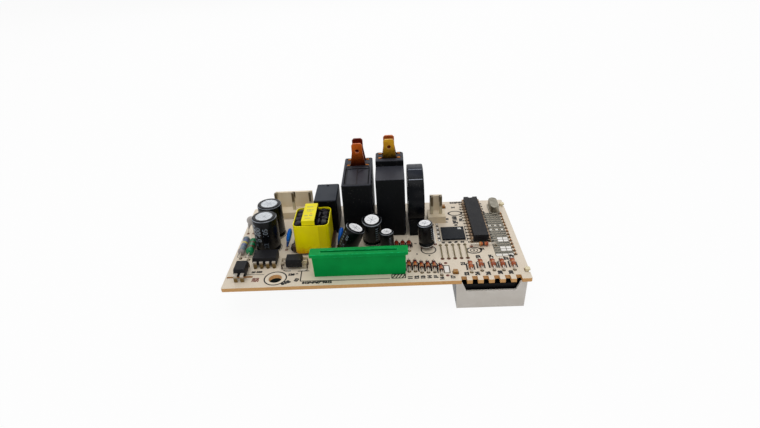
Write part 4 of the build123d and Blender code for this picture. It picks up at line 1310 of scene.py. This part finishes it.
plastic("disc_neck", (4, 70, 150), (6, 46, 104), (40, 90, 160), 0.3)
disc_wires = bmesh.new()
bm = bmesh.new()
for x, y in ((21.3, 27.2), (43.0, 26.3)):
    dipped_disc(bm, disc_wires, x, y, lean_right=15.0, radius=3.0, thickness=2.0, height=6.6, turn=0)
finish_piece("blue_discs_dipped", bm, ["disc_blue", "disc_neck"], ["blue_disc_capacitors"])
bm = bmesh.new()
dipped_disc(bm, disc_wires, 2.9, 40.4, lean_right=12.0, radius=2.2, thickness=2.0, height=6.8, turn=90)
finish_piece("grey_disc_dipped", bm, ["disc_grey"], ["grey_disc_capacitor"])
finish_piece("disc_wires", disc_wires, ["tinned"], ["disc_capacitor_leads"])

# %% [markdown]
# ## Connectors
# The green ribbon connector grips a flat cable in its slot. The two headers have square pins and a tall wall
# that the plug's latch hooks over. All are moulded, so they are softened copies.

# %% Connectors
soften("ribbon_connector_housing", 0.18, "connector_green")
dress("ribbon_connector_contacts", "tinned")
# name: (places of the pins along the board, their row, the front of the latch wall)
headers = {"mains_header": ((12.78, 20.70, 28.62), 56.0, 58.7), "lamp_header": ((84.17, 88.13), 46.7, 49.4)}
for name, (places, row, _) in headers.items():
    soften(name + "_housing", 0.12, "header_cream")
    soften(name + "_pins", 0.08, "header_pin")
    for x in places:
        hole(x, row, 1.8)

# %% [markdown]
# ### Latch grooves
# The latch walls have a groove over each pin. It is too narrow for the soft light to show its shade, so a
# thin
# sheet of painted shade lies in it: dark olive in the open grooves, nearly the wall's colour in the others.
# Both fade to the wall's colour low down.

# %% Shade in the latch grooves
plastic("groove_shade", (46, 34, 24), (70, 58, 36), (90, 80, 60), 0.6)
plastic("groove_olive", (184, 170, 136), (164, 148, 112), (190, 178, 148), 0.6)
fade_with_height(finish["groove_shade"], (190, 172, 138), 7.6, 8.8, 0.5)
fade_with_height(finish["groove_olive"], (212, 196, 164), 7.6, 9.2, 0.5)
# Painted shade: thin sheets in the grooves stand for the shade that falls there.
bm = bmesh.new()
for name, (places, _, wall_front) in headers.items():
    for index, x in enumerate(places):
        pale = name == "mains_header" and index != 1
        block(bm, Matrix.Translation(on_board(x, wall_front + 0.36, 8.9)), (1.24, 0.24, 3.5), int(pale))
round_edges(bm, bm.edges, 0.05, segments=1)
finish_piece("latch_groove_painted_shade", bm, ["groove_shade", "groove_olive"])

# %% [markdown]
# ## Chips
# A chip's case is moulded in two halves that meet at the leads, with a notch at one end. The leads have a
# wide shoulder and a narrow leg. The crystal is a drawn metal can on a flange.

# %% Chips
for node in ("controller_chip_body", "supply_chip_body", "optocoupler_1_body", "optocoupler_2_body"):
    soften(node, 0.07, "chip_black")
soften("controller_chip_leads", 0.03, "lead_tan")
soften("supply_chip_leads", 0.03, "chip_leg")
legs = soften("optocoupler_leads", 0.03, "chip_leg")
legs.data.materials.append(finish["dark_leg"])
for face in legs.data.polygons:
    face.material_index = int(face.center.x > on_board(20, 0).x)
soften("square_chip", 0.08, "slate_chip")
soften("display_pins", 0.06, "display_pin")

# %% [markdown]
# ### Holes of the chips
# Chips have their leads on a 2.54 mm grid, in two rows. The display's pins come up in one row at the edge.

# %% Holes of the chips
CONTROLLER_X = 103.15
# places along Y of the controller chip's 14 pairs of leads
controller_rows = [43.3 + (index - 6.5) * PITCH for index in range(14)]
for index, y in enumerate(controller_rows):
    for side in (-1, 1):
        hole(CONTROLLER_X + side * ROW / 2, y, 1.5, 1)
    hole(115.5, 16.4 + index * PITCH, 1.45, 1)
for index in range(4):
    for side in (-1, 1):
        hole(14.6 + (index - 1.5) * PITCH, 16.8 + side * ROW / 2, 1.2, 1)
hole(87.0, 11.9, 1.3)
hole(87.0, 3.6, 1.3)
print("holes noted:", len(holes))

# %% [markdown]
# ### Crystal
# The crystal's can is drawn from sheet, with a flange round its foot where the base is welded on. It has
# half-round ends. So a circle is pulled apart into a long round, raised for the flange, inset, and raised
# again for the can.

# %% Crystal
low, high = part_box("crystal")
flange, flange_height = 0.5, 0.5
width = (high.x - low.x) / MM - 2 * flange
length = (high.y - low.y) / MM - 2 * flange
height = (high.z - low.z) / MM


def long_round(radius, run):
    """A flat face with two half-round ends, a run apart on Y."""
    part = bmesh.new()
    bmesh.ops.create_circle(part, cap_ends=True, segments=48, radius=radius * MM)
    rear = [vert for vert in part.verts if vert.co.y > 0]
    front = [vert for vert in part.verts if vert.co.y <= 0]
    bmesh.ops.translate(part, vec=(0, run / 2 * MM, 0), verts=rear)
    bmesh.ops.translate(part, vec=(0, -run / 2 * MM, 0), verts=front)
    return part


def raise_top(part, top, amount, inset=0.0):
    """Insets the top face and lifts it, and gives it back."""
    if inset:
        bmesh.ops.inset_region(part, faces=[top], thickness=inset * MM, use_even_offset=True)
    if amount:
        grown = bmesh.ops.extrude_face_region(part, geom=[top])["geom"]
        bmesh.ops.delete(part, geom=[top], context="FACES_ONLY")
        top = next(item for item in grown if isinstance(item, bmesh.types.BMFace))
        bmesh.ops.translate(part, vec=(0, 0, amount * MM), verts=list(top.verts))
    return top


part = long_round(width / 2 + flange, length - width)
top = raise_top(part, part.faces[:][0], flange_height)
top = raise_top(part, top, 0, inset=flange)
top = raise_top(part, top, height - flange_height)
round_edges(part, [edge for edge in part.edges if all(vert.co.z > 0.4 * MM for vert in edge.verts)
                   and edge.calc_face_angle(0) > radians(40)], 0.25, segments=3)
bm = bmesh.new()
collect(bm, part, Matrix.Translation(((low.x + high.x) / 2, (low.y + high.y) / 2, 0)))
finish_piece("crystal_drawn_can", bm, ["crystal_can"], ["crystal"], weighted=True)

# %% [markdown]
# ## Display holder
# Under the right-hand end hangs a white moulded holder with a window in front, held by four sprung clips,
# and the display module sits inside it. The holder's left end lies in shade, so that end's face is inset,
# sunk a little and made black as painted shade. The display looks down, with its four unlit figures just
# lighter than the lens.

# %% Holder
plastic("holder_plastic", (214, 208, 199), (205, 198, 188), (228, 224, 216), 0.42)
fade_with_height(finish["holder_plastic"], (226, 214, 176), 0.1, -0.4)
plastic("clip_gold", (176, 122, 40), (110, 58, 18), (214, 170, 90), 0.35)
bm = whole_copy("display_holder")
# Painted shade: the holder's left end face is made black, for the shade it lies in.
shaded_end_faces = [face for face in bm.faces if face.normal.x < -0.95 and face.calc_area() > 100 * MM * MM
        and face.calc_center_median().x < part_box("display_holder")[0].x + 1 * MM]
bmesh.ops.inset_region(bm, faces=shaded_end_faces, thickness=0.5 * MM, depth=-0.12 * MM, use_even_offset=True)
use_slot(shaded_end_faces, 1)
for face in bm.faces:
    middle = face.calc_center_median()
    if middle.z > -1.0 * MM and middle.x < on_board(100, 0).x:
        face.material_index = 2
round_wear_and_glint_edges(bm, 0.12, spared_slot=1)
finish_piece("display_holder_dressed", bm, ["holder_plastic", "display_black", "clip_gold"],
             ["display_holder"], weighted=True)
print("end faces painted as shade:", len(shaded_end_faces))

# %% [markdown]
# ### Display
# Four figures of seven bars each lie under the lens. The lens is the module's lowest face, inset for its rim.
# Unlit bars are only a little paler than the lens.

# %% Display
plastic("segment_grey", (52, 50, 50), (44, 42, 42), (70, 70, 70), 0.5)
bm = whole_copy("display_module")
lens = min(bm.faces, key=lambda face: face.calc_center_median().z)
bmesh.ops.inset_region(bm, faces=[lens], thickness=0.5 * MM, use_even_offset=True)
bmesh.ops.translate(bm, vec=(0, 0, 0.08 * MM), verts=list(lens.verts))
middle = lens.calc_center_median()
DIGIT_LONG, DIGIT_WIDE, BAR, BAR_THICK = 6.0, 7.0, 1.1, 0.04
# where each bar lies in a figure, along and across it, and whether it stands upright
segments = ((-1, 0, 0), (0, 0, 0), (1, 0, 0), (-0.5, -0.5, 1), (-0.5, 0.5, 1), (0.5, -0.5, 1), (0.5, 0.5, 1))
for digit in (-19.5, -8.0, 8.0, 19.5):
    for along, across, upright_bar in segments:
        centre = middle + Vector((along * DIGIT_LONG, digit + across * DIGIT_WIDE, -0.02)) * MM
        size = ((DIGIT_LONG - BAR * 1.2, BAR, BAR_THICK) if upright_bar
                else (BAR, DIGIT_WIDE - BAR * 1.2, BAR_THICK))
        block(bm, Matrix.Translation(centre), size, 1)
finish_piece("display_module_dressed", bm, ["display_black", "segment_grey"],
             ["display_module"], smooth=28)

# %% [markdown]
# ## Printed marks
# The upper side carries fine printed lines: outlines of parts, a table of boxes by the chip and plain
# numbers. Ink has hardly any thickness, so each stroke is a bar a few hundredths of a millimetre thick.

# %% Strokes
def stroke(bm, start, end, width, slot=0, level=0.0, thickness=INK):
    """A straight printed bar from start to end, in millimetres on the board."""
    laid_bar(bm, start, end, level + thickness / 2, width, abs(thickness), slot)


def path(bm, points, width):
    """Printed bars from point to point."""
    for start, end in zip(points, points[1:]):
        stroke(bm, start, end, width)


def outline(bm, x, y, across, along, width=0.18):
    """A printed rectangle about its centre."""
    left, right, front, back = x - across / 2, x + across / 2, y - along / 2, y + along / 2
    path(bm, [(left, front), (right, front), (right, back), (left, back), (left, front)], width)


def printed_ring(bm, x, y, radius, width, slot=0, stretch=1.0):
    """A printed ring, or an oval stretched along X."""
    outer = radius + width
    part = turned([(radius, 0), (outer, 0), (outer, INK), (radius, INK), (radius, 0)], steps=40)
    use_slot(part.faces, slot)
    collect(bm, part, standing(x, y) @ Matrix.Diagonal((stretch, 1, 1, 1)))


def number(bm, text, x, y, size, turn=0.0, slot=0, level=0.0, bold=0.03):
    """Plain figures printed on the board, or higher, with their centre at x and y."""
    part = figures(text, size, bold=bold)
    use_slot(part.faces, slot)
    collect(bm, part, standing(x, y, level, turn=turn))


plastic("ink_black", (16, 14, 14), (30, 28, 26), (60, 58, 54), 0.6)
plastic("ink_grey", (158, 156, 140), (126, 126, 112), (170, 170, 158), 0.6)
plastic("ink_white", (244, 242, 236), (232, 228, 220), (246, 244, 238), 0.6)
plastic("bare_resin", (232, 221, 202), (226, 212, 188), (236, 228, 212), 0.5)
plastic("ink_rust", (128, 54, 36), (96, 40, 26), (150, 90, 70), 0.6)
inks = ["ink_black", "ink_grey", "ink_white", "ink_rust", "bare_resin"]
marks = bmesh.new()
printed_ring(marks, 20.1, 5.5, 3.1, 0.7, slot=4)
printed_ring(marks, 20.1, 5.6, 4.05, 0.5)
print("inks:", len(inks))

# %% [markdown]
# ### Marks at the left
# Round the mounting hole and the mains parts lie outlines, a long line along the front edge, and figures that
# would tell the assembler which part goes where.

# %% Marks at the left
number(marks, "20 300", 11.9, 10.2, 1.5, bold=0.09)
stroke(marks, (7.4, 8.95), (15.1, 8.4), 0.2)
for x in (11.7, 13.1):
    number(marks, "250", x, 5.0, 1.7, turn=90, slot=3, bold=0.06)
number(marks, "120 8", 26.7, 7.7, 1.7, bold=0.1)
number(marks, "03", 28.7, 4.1, 2.1, turn=72, bold=0.07)
number(marks, "610", 24.5, 2.5, 2.2, turn=28, bold=0.12)
number(marks, "0", 26.3, 2.9, 1.4)
number(marks, "0123456789012", 36.8, 1.95, 1.75, bold=0.1)
path(marks, [(47.6, 2.9), (30.2, 3.2), (29.9, 9.9), (32.9, 9.9)], 0.42)
path(marks, [(22.4, 11.0), (23.2, 10.3), (25.5, 10.3)], 0.4)
stroke(marks, (24.2, 10.9), (25.6, 10.9), 0.4, slot=2)
path(marks, [(28.3, 9.9), (31.2, 9.9), (32.2, 10.9)], 0.45)
stroke(marks, (29.4, 10.7), (31.3, 10.7), 0.4, slot=2)
outline(marks, 2.9, 28.0, 3.4, 13.0)
outline(marks, 6.5, 26.9, 3.8, 11.6)
number(marks, "9", 1.6, 36.8, 1.2)
number(marks, "4", 21.0, 31.2, 1.3)
number(marks, "31", 22.3, 19.2, 1.2)
for x, y in mains_capacitors:
    printed_ring(marks, x, y, 5.3, 0.2)
outline(marks, 20.7, 56.3, 21.0, 8.2)
for index, x in enumerate((14.6, 20.7, 26.6)):
    number(marks, str(index + 1), x, 50.9, 1.3)
print("faces of print so far:", len(marks.faces))

# %% [markdown]
# ### Marks along the front
# Each part of the two front rows stands in a printed outline, with a figure beside it that reads from the
# side. The places come from the same lists as the parts.

# %% Marks along the front
stroke(marks, (47.5, 2.9), (64.8, 3.0), 0.3)
outline(marks, 68.2, 4.2, 5.2, 2.5, 0.4)
for index in range(4):
    stroke(marks, (65.8 + index * 1.25, 3.1), (67.0 + index * 1.25, 5.3), 0.42)
for index, (x, pad) in enumerate(front_row[:5]):
    front = pad + 1.2
    path(marks, [(x - 1.05, front - 0.5), (x - 1.3, front + 0.6), (x - 1.3, front + 4.2), (x, front + 6.2),
                 (x + 1.3, front + 4.2), (x + 1.3, front + 0.6), (x + 1.05, front - 0.5)], 0.55)
    number(marks, str(11 + index), x + 0.3, 3.0, 2.1, turn=90, bold=0.09)
path(marks, [(83.5, 5.2), (83.3, 9.8), (84.75, 11.4), (86.1, 9.8)], 0.5)
number(marks, "16", 84.8, 1.9, 2.0, turn=90, bold=0.09)
number(marks, "17", 89.0, 2.4, 2.1, turn=90, bold=0.09)
outline(marks, 87.0, 7.7, 2.2, 5.0, 0.36)
stroke(marks, (86.2, 7.7), (87.8, 7.7), 3.9, slot=2)
for x, pad in right_row:
    stroke(marks, (x - 1.45, pad + 1.6), (x - 1.45, pad + 5.8), 0.62)
    stroke(marks, (x + 1.4, pad + 1.6), (x + 1.4, pad + 5.4), 0.5)
    path(marks, [(x - 1.4, pad + 5.8), (x - 0.5, pad + 6.6)], 0.3)
for text, x, y in (("21", 93.8, 11.2), ("22", 94.4, 4.3), ("23", 100.4, 15.6), ("24", 98.5, 4.2),
                   ("25", 105.5, 15.6), ("26", 102.6, 4.1), ("27", 111.2, 13.8), ("28", 107.2, 4.4),
                   ("29", 113.6, 15.2), ("30", 111.3, 4.3)):
    number(marks, text, x, y, 2.2, turn=90, bold=0.09)
for x, _ in back_row:
    path(marks, [(x - 1.25, 24.2), (x - 1.25, 27.6), (x, 29.4), (x + 1.25, 27.6), (x + 1.25, 24.2)], 0.5)
number(marks, "18", 75.6, 27.0, 1.3)
number(marks, "8", 76.0, 19.0, 1.3)
print("faces of print so far:", len(marks.faces))

# %% [markdown]
# ### Marks round the chips
# Rings, a ladder of small dots by the square chip, and short dashes that mark the controller chip's leads.

# %% Marks round the chips
printed_ring(marks, 99.4, 20.3, 1.9, 0.55, stretch=1.35)
printed_ring(marks, 99.4, 20.3, 1.15, 0.34, stretch=1.1)
number(marks, "2", 99.4, 20.3, 1.5, bold=0.08)
printed_ring(marks, 95.1, 51.6, 1.65, 0.55, stretch=1.55)
printed_ring(marks, 80.9, 21.9, 2.75, 0.48)
printed_ring(marks, 81.0, 17.7, 0.0, 0.42)
printed_ring(marks, 108.2, 51.4, 0.0, 0.6)
for text, x, y, size in (("25160", 94.5, 45.6, 2.6), ("732", 97.1, 45.4, 1.7), ("31", 91.0, 46.7, 1.8),
                         ("8", 97.4, 48.4, 1.5), ("5", 90.7, 44.0, 1.6)):
    number(marks, text, x, y, size, turn=90, bold=0.09)
number(marks, "40", 94.3, 41.0, 1.5, bold=0.1)
number(marks, "012345", 96.6, 61.7, 1.9, bold=0.1)
for text, x, y in (("32", 102.8, 21.2), ("33", 90.6, 58.3), ("34", 94.8, 57.2), ("9", 97.9, 55.0)):
    number(marks, text, x, y, 1.7, bold=0.08)
for index, x in enumerate((87.6, 90.2, 92.8, 95.4)):
    number(marks, str(41 + index), x, 26.9, 1.5, bold=0.1)
outline(marks, 92.2, 33.4, 11.2, 11.2, 0.2)
number(marks, "12", 95.2, 36.6, 1.5, slot=2, level=0.9, bold=0.08)
for index in range(9):
    y = 28.8 + index * 1.7
    printed_ring(marks, 86.0, y, 0.0, 0.5, slot=0 if index % 2 else 2)
    printed_ring(marks, 86.0, y, 0.5, 0.16)
stroke(marks, (102.0, 24.6), (99.2, 24.6), 0.5, slot=1)
for y in controller_rows:
    for x in (CONTROLLER_X - 5.0, CONTROLLER_X + 5.0):
        stroke(marks, (x, y - 0.55), (x, y + 0.55), 0.6)
print("faces of print so far:", len(marks.faces))

# %% [markdown]
# ### The table of boxes
# Between the controller chip and the display's pins lies a printed table, three boxes wide, in which a
# maker ticks the board's version. Most boxes are filled with grey and small ticks, and a few are white.

# %% The table of boxes
TABLE_FRONT, TABLE_ROW, TABLE_ROWS = 15.4, 1.78, 20
edges_across = (107.6, 110.2, 112.6, 114.8)
for row in range(TABLE_ROWS):
    front = TABLE_FRONT + row * TABLE_ROW
    middle = front + TABLE_ROW / 2
    for column, (left, right) in enumerate(zip(edges_across, edges_across[1:])):
        white_box = row == 0 or (column > 0 and row in (2, 3, 6, 7))
        tall, slot = (1.45, 2) if white_box else (1.25, 1)
        stroke(marks, (left + 0.15, middle), (right - 0.15, middle), tall, slot)
        for tick in range(0 if white_box else 4):
            x = left + 0.45 + tick * (right - left - 0.9) / 3
            wide, slot = (0.34, 2) if row in (11, 13) and tick in (1, 2) else (0.28, 0)
            stroke(marks, (x, middle - 0.5), (x, middle + 0.5), wide, slot, level=INK)
        stroke(marks, (left, front), (right, front), 0.16)
for x in edges_across:
    stroke(marks, (x, TABLE_FRONT), (x, TABLE_FRONT + TABLE_ROWS * TABLE_ROW), 0.2)
finish_piece("printed_marks", marks, inks)

# %% [markdown]
# ## Holes
# Each lead goes through a punched hole, which shows as a brown ring where the resin was cut, with a darker
# centre of painted shade inside the hole. Some are more olive, where flux has crept up through the hole.

# %% Drilled holes
plastic("drilled", (136, 62, 30), (92, 40, 20), (150, 100, 60), 0.5)
plastic("flux_stain", (112, 90, 34), (78, 58, 22), (150, 130, 70), 0.35)
# Painted shade: the darker centre stands for the shade inside the hole.
plastic("hole_painted_shade", (52, 26, 12), (36, 18, 10), (80, 50, 30), 0.6)
bm = bmesh.new()
for x, y, across, finish_slot in holes:
    rim = turned([(0.0, INK * 1.4), (across * 0.28, INK * 1.4), (across / 2, INK), (across / 2 + 0.08, 0)],
                 steps=14)
    for face in rim.faces:
        inner = face.calc_center_median().xy.length < across * 0.27 * MM
        face.material_index = 2 if inner else finish_slot
    collect(bm, rim, standing(x, y))
finish_piece("drilled_holes", bm, ["drilled", "flux_stain", "hole_painted_shade"])
print("leads through the board:", len(holes))

# %% [markdown]
# ## Copper side
# The underside has a joint for every lead. The leads under a relay, the buzzer or the transformer have no
# rim that shows from above, so their places are listed here and added to those that were noted.

# %% Leads that no drilled rim shows
# relays, small relay, buzzer, optocouplers, crystal
hidden_leads = [(49.0, 37.0), (55.0, 37.0), (52.0, 58.0), (47.8, 46.0), (56.4, 46.0), (63.0, 37.0),
                (69.2, 37.0), (66.1, 53.0), (61.9, 45.0), (70.4, 45.0), (35.5, 40.5), (40.5, 40.5),
                (35.5, 51.3), (40.5, 51.3), (76.8, 41.4), (76.8, 49.0), (5.03, 4.4), (7.57, 4.4),
                (5.03, 13.6), (7.57, 13.6), (22.2, 12.0), (22.2, 14.6), (31.4, 12.0), (31.4, 14.6),
                (111.3, 54.0), (111.3, 58.9)]
# transformer, ribbon connector
hidden_leads += [(side, 24.5 + index * 2.95) for side in (25.4, 41.3) for index in range(4)]
hidden_leads += [(39.4 + index * 2.52, 7.4) for index in range(12)]
soldered = [(x, y) for x, y, _, _ in holes] + hidden_leads
print("soldered leads:", len(soldered))

# %% [markdown]
# ### Solder
# Underneath, every lead ends in a cone of solder with the clipped wire in its middle. A cone like that is
# turned, and the same profile serves them all.

# %% Solder joints
UNDER = -1.6
solder_cone = [(0, UNDER), (0.98, UNDER), (0.9, UNDER - 0.12), (0.55, UNDER - 0.42),
               (0.38, UNDER - 0.85), (0.3, UNDER - 1.0), (0.28, UNDER - 1.45), (0, UNDER - 1.5)]
bm = bmesh.new()
for x, y in soldered:
    collect(bm, turned(solder_cone, steps=14), standing(x, y))
finish_piece("solder_joints", bm, ["solder"], smooth=50)

# %% [markdown]
# ### Tracks
# Tracks are flat copper under the lacquer, so each is a low bar in a lighter green. Each joint is joined to
# its nearest neighbours that are not too far, once for each pair. A track starts on the slant and goes on
# straight, and the mains side at the left has the broader ones.

# %% Tracks
LONGEST_TRACK, NEAR, MAINS_SIDE = 14, 3, 44
plastic("track", (96, 142, 84), (82, 126, 72), (130, 170, 110), 0.3, gloss=0.4)
bm = bmesh.new()
spots = sorted({(round(x, 2), round(y, 2)) for x, y in soldered})
joined = set()
for x, y in spots:
    nearest = sorted(spots, key=lambda spot: (spot[0] - x) ** 2 + (spot[1] - y) ** 2)[1:4]
    for other in nearest:
        run_x, run_y = other[0] - x, other[1] - y
        gap = (run_x ** 2 + run_y ** 2) ** 0.5
        if gap > LONGEST_TRACK or (other, (x, y)) in joined or (gap > NEAR and other != nearest[0]):
            continue
        joined.add(((x, y), other))
        slant = min(abs(run_x), abs(run_y))
        knee = (x + slant * (1 if run_x > 0 else -1), y + slant * (1 if run_y > 0 else -1))
        for start, end in (((x, y), knee), (knee, other)):
            if (Vector(end) - Vector(start)).length > 0.3:
                stroke(bm, start, end, 2.2 if x < MAINS_SIDE else 1.0, level=UNDER, thickness=-0.04)
finish_piece("tracks", bm, ["track"])
print("tracks:", len(joined))
